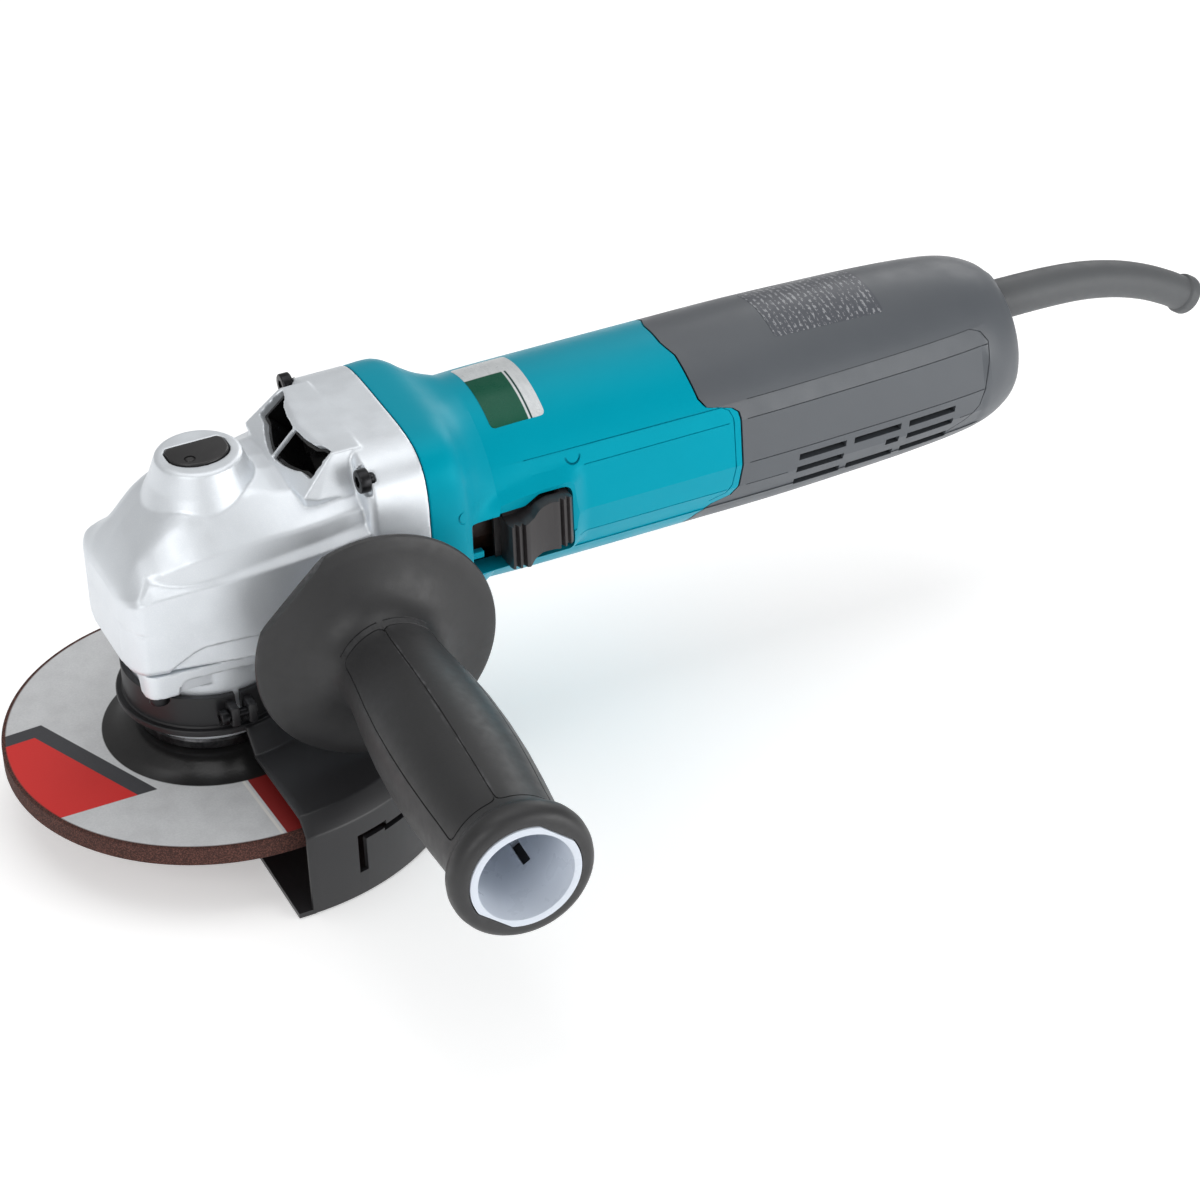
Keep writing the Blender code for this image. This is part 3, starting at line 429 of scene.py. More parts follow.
def front_label():
    """Silver foil with a plain green field and a thin dark rule."""
    look = Look("front_label_print")
    x, y, z = look.axes()
    foil = look.mix(look.noise(900.0, 3.0, stretch=(1.0, 0.2, 1.0)), linear(186, 190, 192), linear(222, 225, 226))
    low = look.math("SUBTRACT", 1.0, look.span(y, 0.6 * MM, 0.9 * MM))
    field = look.math("MULTIPLY", low, look.math("SUBTRACT", 1.0, look.span(x, 97.6 * MM, 97.8 * MM)))
    tint = look.mix(field, foil, linear(0, 80, 58))
    rule = look.math("MULTIPLY", look.span(x, 98.3 * MM, 98.4 * MM), look.math("SUBTRACT", 1.0, look.span(x, 98.9 * MM, 99.0 * MM)))
    look.colour(look.mix(look.math("MULTIPLY", rule, low), tint, linear(20, 60, 54)))
    look.roughness(look.span(look.noise(300.0, 3.0), 0.3, 0.7, 0.24, 0.34))
    look.set(Metallic=0.1, Specular_IOR_Level=0.25)
    look.bump(look.noise(1200.0, 2.0), 0.08, 0.02)
    return look.material


def rear_label():
    """A rating label worn to a grey speckle."""
    look = Look("rear_label_print")
    x, y, z = look.axes()
    fine = look.span(look.noise(1300.0, 3.0, 0.7, (1.0, 0.45, 1.0)), 0.50, 0.58)
    rows = look.span(look.math("SINE", look.math("MULTIPLY", x, 3400.0)), -0.2, 0.3)
    tint = look.mix(look.math("MULTIPLY", fine, rows), linear(74, 77, 84), linear(150, 152, 156))
    look.colour(tint)
    look.roughness(look.span(look.noise(200.0, 3.0), 0.3, 0.7, 0.34, 0.44))
    look.bump(look.noise(1500.0, 2.0), 0.08, 0.02)
    return look.material


def build_materials():
    teal = linear(0, 150, 173)
    dark = linear(84, 88, 93)
    return {
        "alloy": die_cast(),
        # Near-black liner in the outlet duct: painted shade, so the inside of the outlet reads dark.
        "inside": plain("duct_painted_shade_black", linear(16, 16, 17), 0.30, vary=0.12, vary_scale=140.0),
        "teal": plain("teal_moulding", teal, 0.38, vary=0.04, vary_scale=45.0, grain_scale=3200.0, grain=0.12,
                      Specular_IOR_Level=0.38, Specular_Tint=(0.05, 0.75, 0.85, 1.0)),
        "dark": plain("grey_moulding", dark, 0.42, vary=0.05, vary_scale=50.0, grain_scale=3000.0, grain=0.22),
        "black": plain("black_moulding", linear(38, 37, 38), 0.38, vary=0.10, grain_scale=2600.0, grain=0.20,
                       wear=linear(78, 76, 76)),
        "knob": plain("knob_moulding", linear(50, 47, 48), 0.34, vary=0.03, vary_scale=60.0, grain_scale=2600.0,
                      grain=0.14, rough_spread=0.02),
        "rubber": plain("grip_rubber_skin", linear(43, 43, 44), 0.46, vary=0.09, vary_scale=120.0,
                        grain_scale=1900.0, grain=0.38, grain_depth=0.045, wear=linear(78, 78, 80)),
        "cord_rubber": plain("cord_guard_rubber", linear(86, 88, 90), 0.55, vary=0.06, vary_scale=150.0,
                             grain_scale=2200.0, grain=0.35, grain_depth=0.04),
        "white": plain("white_core", linear(208, 215, 225), 0.30, vary=0.02, vary_scale=70.0, grain_scale=1600.0,
                       grain=0.05),
        "guard": plain("guard_paint", linear(35, 35, 37), 0.40, vary=0.03, vary_scale=60.0, grain_scale=1800.0,
                       grain=0.08, rough_spread=0.02),
        "front_label": front_label(),
        "rear_label": rear_label(),
        # Field coils in dark brown varnish, kept this dark so the switch slot reads black: real varnish colour and
        # painted shade.
        "varnish_and_shade": plain("winding_varnish_and_painted_shade", linear(52, 34, 26), 0.35, vary=0.2, vary_scale=900.0, grain_scale=1200.0,
                         grain=0.5, grain_depth=0.12),
        "black_steel": plain("black_oxide_steel", linear(40, 40, 42), 0.34, vary=0.15, vary_scale=300.0,
                             grain_scale=2400.0, grain=0.15, wear=linear(120, 120, 122), metallic=0.85),
        "steel": plain("ground_steel", linear(190, 192, 196), 0.24, vary=0.05, vary_scale=400.0, grain_scale=4200.0,
                       grain=0.10, metallic=1.0),
        "zinc": plain("zinc_plate", linear(200, 203, 210), 0.32, vary=0.06, vary_scale=260.0, grain_scale=2600.0,
                      grain=0.10, metallic=1.0),
        "copper": plain("copper_winding", linear(196, 110, 62), 0.30, vary=0.16, vary_scale=900.0, grain_scale=1200.0,
                        grain=0.6, grain_depth=0.15, metallic=1.0),
        "brass": plain("brass_sheet", linear(200, 168, 96), 0.30, vary=0.06, vary_scale=300.0, metallic=1.0),
        "stack": plain("lamination_stack", linear(120, 121, 124), 0.42, vary=0.12, vary_scale=1500.0,
                       grain_scale=1500.0, grain=0.5, grain_depth=0.1, metallic=1.0),
        "carbon": plain("carbon_block", linear(34, 34, 35), 0.55, vary=0.15, vary_scale=700.0),
        "abrasive": abrasive(),
    }


# ---------------------------------------------------------------- camera, light, floor

CAMERA_AZIMUTH = -24.0
CAMERA_ELEVATION = 34.3
CAMERA_ROLL = -2.2
CAMERA_TARGET = (125.98, 0.0, 11.14)
CAMERA_DISTANCE = 1220.79


def build_camera():
    a, e, roll = (math.radians(v) for v in (CAMERA_AZIMUTH, CAMERA_ELEVATION, CAMERA_ROLL))
    back = Vector((math.sin(a) * math.cos(e), -math.cos(a) * math.cos(e), math.sin(e)))
    level = Vector((math.cos(a), math.sin(a), 0.0))
    upright = back.cross(level)
    right = level * math.cos(roll) + upright * math.sin(roll)
    up = upright * math.cos(roll) - level * math.sin(roll)
    camera = bpy.data.objects.new("camera", bpy.data.cameras.new("camera"))
    bpy.context.scene.collection.objects.link(camera)
    turn = Matrix((right, up, back)).transposed().to_4x4()
    camera.matrix_world = Matrix.Translation(mm(*CAMERA_TARGET) + back * CAMERA_DISTANCE * MM) @ turn
    camera.data.sensor_width = 36.0
    camera.data.lens = 120.0
    camera.data.clip_start = 0.01
    camera.data.dof.use_dof = False
    bpy.context.scene.camera = camera


def area_light(name, position, target, size, power, colour=(1, 1, 1)):
    data = bpy.data.lights.new(name, "AREA")
    data.shape = "RECTANGLE"
    data.size, data.size_y = size
    data.energy = power
    data.color = colour
    obj = bpy.data.objects.new(name, data)
    bpy.context.scene.collection.objects.link(obj)
    obj.location = position
    obj.rotation_euler = (Vector(target) - Vector(position)).to_track_quat("-Z", "Y").to_euler()


def build_studio():
    scene = bpy.context.scene
    scene.view_settings.view_transform = "Standard"
    world = bpy.data.worlds.new("studio")
    scene.world = world
    world.use_nodes = True
    world.node_tree.nodes["Background"].inputs["Color"].default_value = (1.0, 1.0, 1.0, 1.0)
    world.node_tree.nodes["Background"].inputs["Strength"].default_value = 0.36
    area_light("overhead", (0.10, 0.10, 1.1), (0.10, 0.0, 0.05), (1.1, 0.8), 3.8)
    area_light("front_left", (-0.9, -0.75, 0.75), (0.05, 0.0, 0.05), (0.7, 0.7), 4.4)
    area_light("front_right", (0.85, -1.05, 0.32), (0.12, 0.0, 0.05), (1.0, 0.6), 7.6)
    area_light("right_back", (0.9, 0.7, 0.6), (0.12, 0.0, 0.05), (0.6, 0.6), 2.5)
    verts = [(-3000, -3000, -14.8), (3000, -3000, -14.8), (3000, 3000, -14.8), (-3000, 3000, -14.8)]
    floor = make("floor", verts, [(0, 1, 2, 3)])
    look = Look("pale_floor")
    look.colour(look.mix(look.noise(3.0, 2.0), (0.93, 0.93, 0.93), (0.96, 0.96, 0.96)))
    look.set(Roughness=0.9, Emission_Color=(1.0, 1.0, 1.0, 1.0), Emission_Strength=0.36)
    floor.data.materials.append(look.material)


# ---------------------------------------------------------------- gear head

# half-profiles of the gear housing: x, wall y, crease z, ledge, shoulder, slope and crown as (y, z)
HEAD_STATIONS = (
    (-29.0, 12.0, 66.5, (11.5, 67.2), (10.5, 67.8), (7.0, 68.3), (3.0, 68.5)),
    (-28.2, 17.5, 68.0, (16.8, 68.8), (15.5, 69.5), (10.0, 70.3), (4.0, 70.6)),
    (-26.8, 21.0, 69.3, (20.2, 70.0), (19.0, 70.9), (12.0, 72.6), (4.0, 73.1)),
    (-25.0, 22.8, 70.3, (21.9, 71.0), (20.8, 72.0), (13.0, 75.0), (4.0, 75.8)),
    (-22.5, 23.5, 71.2, (20.6, 72.6), (19.3, 74.2), (12.0, 78.3), (4.0, 79.2)),
    (-20.5, 23.9, 71.6, (18.8, 74.3), (17.6, 75.9), (11.5, 80.6), (4.0, 81.6)),
    (-16.0, 24.7, 72.1, (21.4, 73.8), (20.0, 77.5), (12.5, 85.0), (4.0, 86.2)),
    (-12.0, 25.4, 72.6, (23.3, 73.8), (21.7, 79.2), (13.0, 88.3), (4.0, 89.5)),
    (-6.0, 26.6, 73.3, (25.1, 74.5), (23.5, 81.0), (13.5, 91.2), (4.0, 92.4)),
    (4.0, 28.4, 74.8, (26.6, 76.3), (24.9, 82.5), (13.8, 93.0), (4.0, 94.2)),
    (14.0, 30.0, 76.1, (27.8, 78.0), (26.1, 83.7), (13.6, 92.8), (4.0, 94.0)),
    (22.0, 31.2, 77.2, (28.8, 79.4), (27.2, 84.6), (16.0, 91.0), (4.0, 92.4)),
    (30.0, 32.4, 78.6, (29.7, 80.9), (28.1, 85.8), (18.0, 91.0), (4.0, 92.4)),
    (36.0, 33.2, 80.0, (30.3, 82.2), (28.7, 86.9), (20.0, 91.6), (4.0, 93.0)),
    (46.0, 33.8, 81.0, (30.9, 83.2), (29.2, 87.6), (20.0, 92.0), (4.0, 93.4)),
)
CASE_BOTTOM = 46.3
RECESS = 1.6


def head_section(x, wall, crease, ledge, shoulder, slope, crown):
    """One cross-section of the gear housing, from the bottom edge round over the crown."""
    corners = [(wall - 0.8, CASE_BOTTOM), (wall, CASE_BOTTOM + 1.5), (wall, crease), ledge, shoulder, slope, crown]
    corners += [(-y, z) for y, z in reversed(corners)]
    radii = [0.8, 1.0, 0.5, 0.8, 2.2, 9.0, 4.0]
    return [(x, y, z) for y, z in fillet(corners, radii + radii[::-1], 6)]


def head_rings():
    table = [station[:3] + tuple(value for point in station[3:] for value in point) for station in HEAD_STATIONS]
    places = []
    for low, high in zip(table, table[1:]):
        places += [low[0] + (high[0] - low[0]) * k / 4 for k in range(4)]
    rings = []
    for x in places + [table[-1][0]]:
        wall, crease, *rest = between(table, x)
        rings.append(head_section(x, wall, crease, *zip(rest[::2], rest[1::2])))
    return rings


def wall_at(x):
    return between([(s[0], s[1]) for s in HEAD_STATIONS], x)[0]


def side_recess(sign):
    """The tool for the shallow recess low on a side wall, behind its corner post."""
    rings = []
    for x, top in ((-19.2, 45.6), (-17.6, 48.4), (-15.0, 50.0), (-11.0, 52.6), (-8.0, 53.8), (0.0, 54.4), (20.0, 55.0),
                   (40.0, 55.6)):
        near, far = wall_at(x) - RECESS, wall_at(x) + 6.0
        rings.append([(x, sign * near, 40.0), (x, sign * far, 40.0), (x, sign * far, top + 1.2), (x, sign * near, top - 0.6)])
    return skin("recess", rings)


def seam_groove():
    """The tool for the moulding line round the front of the casting."""
    rings = []
    for x, y, z in ((-6.0, -26.6, 58.0), (-14.0, -25.1, 58.6), (-20.0, -24.0, 59.6), (-23.6, -23.2, 60.2), (-25.6, -21.8, 60.6),
                    (-27.2, -20.0, 60.8), (-28.4, -16.5, 60.9), (-29.2, -8.0, 60.9), (-29.4, 0.0, 60.9), (-29.2, 8.0, 60.9),
                    (-28.4, 16.5, 60.9), (-27.2, 20.0, 60.8), (-25.6, 21.8, 60.6), (-23.6, 23.2, 60.2), (-20.0, 24.0, 59.6),
                    (-6.0, 26.6, 58.0)):
        out = Vector((x, y, 0)).normalized()
        rings.append([(x - out.x * 0.5, y - out.y * 0.5, z), (x + out.x * 1.5, y + out.y * 1.5, z + 0.9),
                      (x + out.x * 1.5, y + out.y * 1.5, z - 0.9)])
    return skin("seam", rings)


def hull(name, points):
    """The convex solid round a set of points."""
    obj = make(name, points, [])
    bm = bmesh.new()
    bm.from_mesh(obj.data)
    bmesh.ops.convex_hull(bm, input=bm.verts)
    bmesh.ops.recalc_face_normals(bm, faces=bm.faces)
    bm.to_mesh(obj.data)
    bm.free()
    return obj


def mirrored(points):
    return points + [(x, -y, z) for x, y, z in points]


def port_face(y, z):
    """Where the leaning, slightly bowed front of the exhaust tower lies along X."""
    return z - 67.7 + abs(y) * 0.12


def port_solid(name, shrink, depths):
    """A solid with the outline of the outlet, running down the duct between the given depths."""
    low = ((20.0, 94.9), (14.6, 94.9), (12.2, 94.2), (9.4, 93.7), (6.0, 93.2), (0.0, 93.0))
    high = ((18.8, 101.9), (14.8, 101.6), (12.2, 100.6), (7.5, 100.2), (0.0, 100.3))
    outline = [(y - (shrink if y > 15 else 0), z + shrink * 0.7) for y, z in low]
    outline += [(-y, z) for y, z in reversed(outline[:-1])]
    top = [(y - (shrink if y > 15 else 0), z - shrink * 0.7) for y, z in high]
    outline += [(-y, z) for y, z in top] + list(reversed(top[:-1]))
    return skin(name, [[(port_face(y, z) + depth, y, z - depth * fall) for y, z in outline] for depth, fall in depths])


def tower_solid():
    points = []
    for y in (0.0, 8.0, 14.0, 19.0, 21.0):
        points += [(port_face(y, 91.5) - 0.6, y * 1.1, 91.5), (port_face(y, 101.0) - 0.6, y * 0.97, 101.0),
                   (port_face(y, 101.0) + 0.6, y * 0.96, 101.8)]
    points += [(30.0, 24.2, 90.2), (27.0, 22.0, 86.0), (45.0, 20.4, 101.9), (45.0, 24.8, 89.4), (45.0, 22.0, 86.0)]
    return hull("tower", mirrored(points))


FLANGE_CORNERS = [(sy * 29.5, AXIS_Z + sz * 27.5) for sy in (-1, 1) for sz in (-1, 1)]
COVER_CORNERS = [(sx * 21.5, sy * 19.5) for sx in (-1, 1) for sy in (-1, 1)]


def superellipse(x, half_w, half_h, power, count=120):
    ring = []
    for k in range(count):
        a = 2 * math.pi * k / count
        c, s = math.cos(a), math.sin(a)
        ring.append((x, half_w * math.copysign(abs(c) ** (2 / power), c),
                     AXIS_Z + half_h * math.copysign(abs(s) ** (2 / power), s)))
    return ring


def rounded_square(x, half_w, half_h, radius):
    ring = []
    for (sy, sz), start in zip(((1, 1), (-1, 1), (-1, -1), (1, -1)), (0, 90, 180, 270)):
        for k in range(13):
            a = math.radians(start + 7.5 * k)
            ring.append((x, sy * (half_w - radius) + radius * math.cos(a), AXIS_Z + sz * (half_h - radius) + radius * math.sin(a)))
    return ring


def button_outline(grow=0.0):
    points = [(DOME_X + 7.6 + grow, 5.4 + grow), (DOME_X + 9.0 + grow, 3.4), (DOME_X + 9.0 + grow, 0.0)]
    for k in range(1, 16):
        a = math.radians(11.25 * k)
        points.append((DOME_X + (9.0 + grow) * math.cos(a), -(7.2 + grow) * math.sin(a)))
    points += [(DOME_X - 9.0 - grow, 0.0), (DOME_X - 9.0 - grow, 3.4), (DOME_X - 7.6 - grow, 5.4 + grow)]
    return points


def build_exhaust_liner(looks):
    liner = port_solid("exhaust_sleeve", 0.25, ((1.2, 1.0), (8.0, 1.0), (13.0, 0.75)))
    inner = port_solid("exhaust_inside", 1.1, ((-1.0, 1.0), (7.0, 1.0), (12.0, 0.75)))
    cut(liner, inner)
    vane = hull("vane", mirrored([(36.0, 6.5, 97.0), (44.0, 8.5, 93.0), (36.8, 7.2, 97.2), (44.8, 9.2, 93.2), (38.0, 6.5, 86.5),
                                  (44.0, 8.5, 86.5)])[:6])
    join(liner, vane)
    bevel(liner, 0.2, 1)
    piece(liner, "housing", looks["inside"], ["exhaust_liner"])


def build_gear_housing(looks):
    housing = skin("gear_case", head_rings())
    flange = skin("flange", [superellipse(x, w, h, 4.6) for x, w, h in (
        (41.4, 33.2, 31.2), (42.2, 34.2, 32.2), (43.2, 34.9, 32.9), (SEAM_X - 0.2, 34.9, 32.9), (SEAM_X, 34.6, 32.6))])
    dome = lathe("dome", [(0, 101.0), (11.6, 101.0), (12.6, 100.4), (13.4, 98.2), (14.9, 94.0), (17.4, 88.6), (21.5, 82.0),
                          (0, 76.0)], 64, origin=(DOME_X, 0, 0))
    tower = tower_solid()
    bosses = [rod("boss", (35.5, 28.0 * s, 54.5), (0, s, 0), 10.0, 6.5, 48) for s in (-1, 1)]
    join(housing, flange, dome, tower, *bosses)
    cavity = lathe("cavity", [(0, 80.6), (6.3, 80.6), (6.3, 67.0), (24.2, 67.0), (24.2, 40.0), (0, 40.0)], 64)
    bore = lathe("bore", [(0, 62.0), (29.2, 62.0), (29.2, 47.0), (13.3, 47.0), (13.3, 33.0), (10.2, 33.0),
                          (10.2, 8.0), (0, 8.0)], 64, "X", (0, 0, AXIS_Z))
    port = port_solid("port", 0.0, ((-8.0, 1.0), (3.0, 1.0), (8.0, 1.0), (14.0, 0.7)))
    cut(housing, cavity, bore, side_recess(1), side_recess(-1), seam_groove(), port)
    rib = hull("rib", [(port_face(0, z) + depth, y, z - depth) for z in (92.6, 100.8) for y in (-0.5, 0.5)
                       for depth in (0.0, 1.0)])
    join(housing, rib)
    tools = []
    for y, z in FLANGE_CORNERS:
        tools.append(rod("pocket", (26.0, y, z), (1, 0, 0), 4.7, 17.2))
        tools.append(rod("bore", (42.0, y, z), (1, 0, 0), 1.7, 3.0, 16))
    for s in (-1, 1):
        tools.append(rod("stud", (35.5, 40.0 * s, 54.5), (0, -s, 0), 5.3, 19.0))
    tools.append(prism("well", button_outline(0.35), 92.5, 110.0))
    cut(housing, *tools)
    cast(housing, 0.42, 3)
    piece(housing, "housing", looks["alloy"], ["gear_housing"], 40)


def build_button(looks):
    button = prism("lock_button_cap", button_outline(-0.1), 97.6, 101.5)
    bevel(button, 0.5, 3)
    dimple = lathe("dimple", [(0, 104.0), (1.7, 104.0), (1.7, 101.1), (1.2, 101.1), (1.2, 104.0)][:4] + [(0, 101.1)],
                   32, origin=(DOME_X - 3.6, -3.2, 0))
    cut(button, dimple)
    screw = lathe("dot", [(0, 101.45), (1.1, 101.35), (1.4, 101.0), (1.4, 100.6), (0, 100.6)], 24,
                  origin=(DOME_X - 3.6, -3.2, 0))
    join(button, screw)
    piece(button, "lock", looks["black"], ["lock_button"])


def socket_screw(name, node, body, point, direction, looks, head_r=3.5, head_h=3.2,
                 shank_length=14.0):
    """A cap screw: the point is under its head and the direction runs down its shank."""
    direction = Vector(direction).normalized()
    head = rod(name, Vector(point) - direction * head_h, direction, head_r, head_h, 40)
    bevel(head, 0.45, 3)
    hexagon = rod("hexagon", Vector(point) - direction * (head_h + 1.0), direction, head_r * 0.52, 1.0 + head_h * 0.62, 6)
    cut(head, hexagon)
    shank = rod("shank", Vector(point) - direction * 0.3, direction, 1.4, shank_length, 20)
    join(head, shank)
    piece(head, body, looks["black_steel"], [node])


def build_screws(looks):
    for index, (y, z) in enumerate(FLANGE_CORNERS):
        socket_screw(f"flange_screw_{index + 1}", f"housing_screw_{index + 1}", "housing", (43.0, y, z), (1, 0, 0), looks,
                     3.5, 3.2, 1.8)
    for index, (x, y) in enumerate(COVER_CORNERS):
        socket_screw(f"foot_screw_{index + 1}", f"cover_screw_{index + 1}", "housing", (x, y, 38.0), (0, 0, 1), looks,
                     3.0, 3.0, 12.0)
    socket_screw("clamp_screw", "guard_clamp_screw", "guard", (-4.4, -28.2, 29.6), (1, 0, 0), looks, 2.4, 2.6, 9.0)


def build_bearing_cover(looks):
    outline = fillet([(25.8, 26.6), (-25.8, 23.4), (-25.8, -23.4), (25.8, -26.6)], 5.0, 10)
    cover = prism("neck_casting", outline, 38.3, 46.0)
    neck = lathe("neck", [(0, 44.0), (23.2, 44.0), (23.2, 18.6), (22.8, 18.2), (0, 18.2)], 96)
    arch_outline = fillet([(-18.4, 30.0), (18.4, 30.0), (15.6, 42.6), (-15.6, 42.6)], 3.0, 6)
    for turn in range(4):
        arch = prism("arch", arch_outline, 22.4, 40.0, "X")
        place(arch, Matrix.Rotation(math.radians(90 * turn), 4, "Z"))
        cut(cover, arch)
    join(cover, neck)
    seat = lathe("seat", [(0, 60.0), (17.8, 60.0), (17.8, 26.6), (10.0, 26.6), (10.0, 10.0), (0, 10.0)], 64)
    holes = [rod("hole", (x, y, 30.0), (0, 0, 1), 1.95, 20.0, 20) for x, y in COVER_CORNERS]
    cut(cover, seat, *holes)
    cast(cover, 0.4, 2)
    piece(cover, "housing", looks["alloy"], ["bearing_cover"], 40)


# ---------------------------------------------------------------- wheel stack and guard

def build_wheel(looks):
    wheel = lathe("wheel_disc", [
        (62.2, 9.0), (62.5, 8.7), (62.5, 3.3), (62.2, 3.0), (31.0, 3.0), (27.5, 5.2), (24.0, 8.0), (11.2, 8.0), (11.2, 14.0),
        (21.0, 14.0), (22.6, 13.9), (24.4, 13.4), (26.4, 12.2), (28.4, 10.9), (30.6, 9.7), (33.0, 9.08), (33.3, 9.0),
        (45.0, 9.0), (61.2, 9.0)], 192)
    piece(wheel, "spindle_set", looks["abrasive"], ["grinding_wheel"], 40)
    flange = lathe("clamp_flange", [(21.7, 14.2), (22.0, 14.5), (22.0, 16.6), (21.2, 17.7), (7.2, 17.7), (7.2, 14.2)], 96)
    piece(flange, "spindle_set", looks["black_steel"], ["inner_flange"])
    nut = lathe("spanner_nut", [(18.9, 7.8), (19.5, 7.2), (19.5, 2.8), (18.9, 2.2), (9.5, 2.2), (8.6, 2.9), (7.2, 2.9),
                                (7.2, 12.0), (10.7, 12.0), (10.7, 7.8)], 96)
    pins = [rod("pin", (15.0 * math.cos(a), 15.0 * math.sin(a), 0.0), (0, 0, 1), 2.4, 5.0)
            for a in [math.radians(45 + 90 * k) for k in range(4)]]
    cut(nut, *pins)
    bevel(nut, 0.2, 1)
    piece(nut, "spindle_set", looks["black_steel"], ["lock_nut"])


def build_guard(looks):
    collar = lathe("guard_shell", [(25.2, 34.3), (25.4, 34.1), (25.4, 24.6), (25.8, 24.2), (27.2, 24.2), (27.5, 23.9),
                                   (27.5, 22.6), (27.2, 22.2), (23.5, 22.2), (23.5, 34.3)], 96)
    outer = [(26.5, 23.9), (28.4, 23.9), (34.0, 17.5), (66.6, 17.5), (71.5, 12.6), (71.5, -14.3)]
    inner = [(40.0, -14.3), (40.0, -12.7), (69.9, -12.7), (69.9, 12.3), (66.3, 15.9), (33.4, 15.9), (27.9, 22.4),
             (24.4, 22.4), (24.4, 23.9)]
    profile = outer + inner
    rings = []
    steps = 72
    for k in range(steps + 1):
        a = math.radians(-89.0 + 178.0 * k / steps)
        rings.append([(r * math.cos(a), r * math.sin(a), h) for r, h in profile])
    shell = skin("shell", rings)
    bevel(shell, 0.5, 2, 35)
    lugs = [block("lug", (-4.0, -30.2, 26.4), (-1.3, -24.6, 32.8)), block("lug", (1.3, -30.2, 26.4), (4.0, -24.6, 32.8))]
    for lug in lugs:
        bevel(lug, 0.6, 2)
    tabs = [block("tab", (-3.0, low, -14.3), (2.2, high, -12.7)) for low, high in ((40.1, 71.3), (-71.3, -40.1))]
    join(collar, shell, *lugs, *tabs)
    cut(collar, block("split", (-0.9, -40.0, 24.4), (0.9, -20.0, 40.0)),
        rod("hole", (-10.0, -28.2, 29.6), (1, 0, 0), 1.6, 20.0))
    slots = []
    for sign in (-1, 1):
        slots.append(sector("slot", 68.0, 73.0, sign * 73.8, sign * 76.2, -6.4, 6.8))
        slots.append(sector("slot", 68.0, 73.0, sign * 67.6, sign * 76.2, 4.4, 6.8))
        slots.append(sector("slot", 68.0, 73.0, sign * 60.0, sign * 68.2, 3.4, 5.4))
    cut(collar, *slots)
    piece(collar, "guard", looks["guard"], ["wheel_guard"], 28)


def sector(name, inner_r, outer_r, from_deg, to_deg, low, high, steps=12):
    """A ring sector, for cutting a slot through a round wall."""
    rings = []
    for k in range(steps + 1):
        a = math.radians(from_deg + (to_deg - from_deg) * k / steps)
        rings.append([(r * math.cos(a), r * math.sin(a), h)
                      for r, h in ((inner_r, low), (outer_r, low), (outer_r, high), (inner_r, high))])
    return skin(name, rings)


# ---------------------------------------------------------------- motor and rear housing

FACETS = (17.0, 11.8, -2.0, -10.5, -17.0)
PANEL_INSET = 0.35
SEAM_OUTLINE = ((145.5, 104.0), (145.6, 99.5), (147.6, 97.8), (148.2, 93.5), (148.9, 89.0), (150.6, 86.6),
                (158.6, 84.6), (160.4, 83.2), (160.6, 81.5), (159.8, 66.0), (159.2, 59.0), (157.0, 55.4),
                (151.4, 53.6), (147.0, 50.4), (145.2, 46.5), (144.0, 36.0), (144.0, 30.0))
BODY_RADII = ((82.0, 30.7), (95.0, 31.0), (150.0, 31.0), (175.0, 30.9), (200.0, 30.2), (222.0, 29.3), (240.0, 27.9),
              (249.0, 26.3), (255.0, 23.9), (259.0, 21.0), (260.8, 17.6))
COLLAR_SHAPES = ((59.3, 34.7, 32.7, 4.6), (59.6, 34.9, 32.9, 4.6), (67.0, 34.9, 32.9, 4.6), (70.5, 34.2, 32.4, 4.0),
                 (73.0, 32.8, 31.6, 3.3), (76.0, 31.6, 30.9, 2.7), (79.0, 31.0, 30.7, 2.3), (82.0, 30.7, 30.7, 2.0))
FAIRING_FACE = 32.7
FAIRING_TOP = ((66.0, 76.2), (78.0, 78.6), (90.0, 80.8), (104.0, 81.8), (112.0, 81.8))
REAR_LINES = (((164.0, 85.9), (241.0, 86.0), (244.5, 84.4), (246.4, 81.5), (245.6, 75.0), (243.0, 61.0), (238.5, 56.0),
               (232.0, 52.6)),
              ((163.0, 80.8), (246.0, 80.8)), ((162.5, 67.0), (243.8, 67.0)), ((162.0, 58.5), (176.0, 58.5)),
              ((236.0, 58.5), (241.0, 58.5)))
MOTOR_LINES = (((92.0, 85.9), (155.6, 85.4), (157.8, 84.2), (158.6, 82.0), (157.9, 66.0), (157.2, 60.0), (155.4, 57.2),
                (150.4, 55.4)),
               ((110.0, 80.8), (157.0, 80.8)), ((107.0, 58.5), (155.6, 58.5)))
LINE_WIDTH = 0.5
LINE_DEPTH = 0.35


def between(table, x):
    """Smooth interpolation down a table whose first column is x."""
    if x <= table[0][0]:
        return table[0][1:]
    for k in range(len(table) - 1):
        if x <= table[k + 1][0]:
            p1, p2 = table[k], table[k + 1]
            p0, p3 = table[max(k - 1, 0)], table[min(k + 2, len(table) - 1)]
            t = (x - p1[0]) / (p2[0] - p1[0])
            out = []
            for c in range(1, len(p1)):
                m1 = (p2[c] - p0[c]) / (p2[0] - p0[0]) * (p2[0] - p1[0])
                m2 = (p3[c] - p1[c]) / (p3[0] - p1[0]) * (p2[0] - p1[0])
                out.append((2 * t ** 3 - 3 * t ** 2 + 1) * p1[c] + (t ** 3 - 2 * t ** 2 + t) * m1
                           + (3 * t ** 2 - 2 * t ** 3) * p2[c] + (t ** 3 - t ** 2) * m2)
            return tuple(out)
    return table[-1][1:]


def fairing(x, z, y):
    """The half-width on the grip side, swollen round the switch."""
    top = between(FAIRING_TOP, x)[0]
    grow = smooth_step(z, 52.4, 57.0) * (1 - smooth_step(z, top - 5.0, top + 0.6)) * (1 - smooth_step(x, 102.5, 110.5))
    return y + max(0.0, FAIRING_FACE - y) * grow


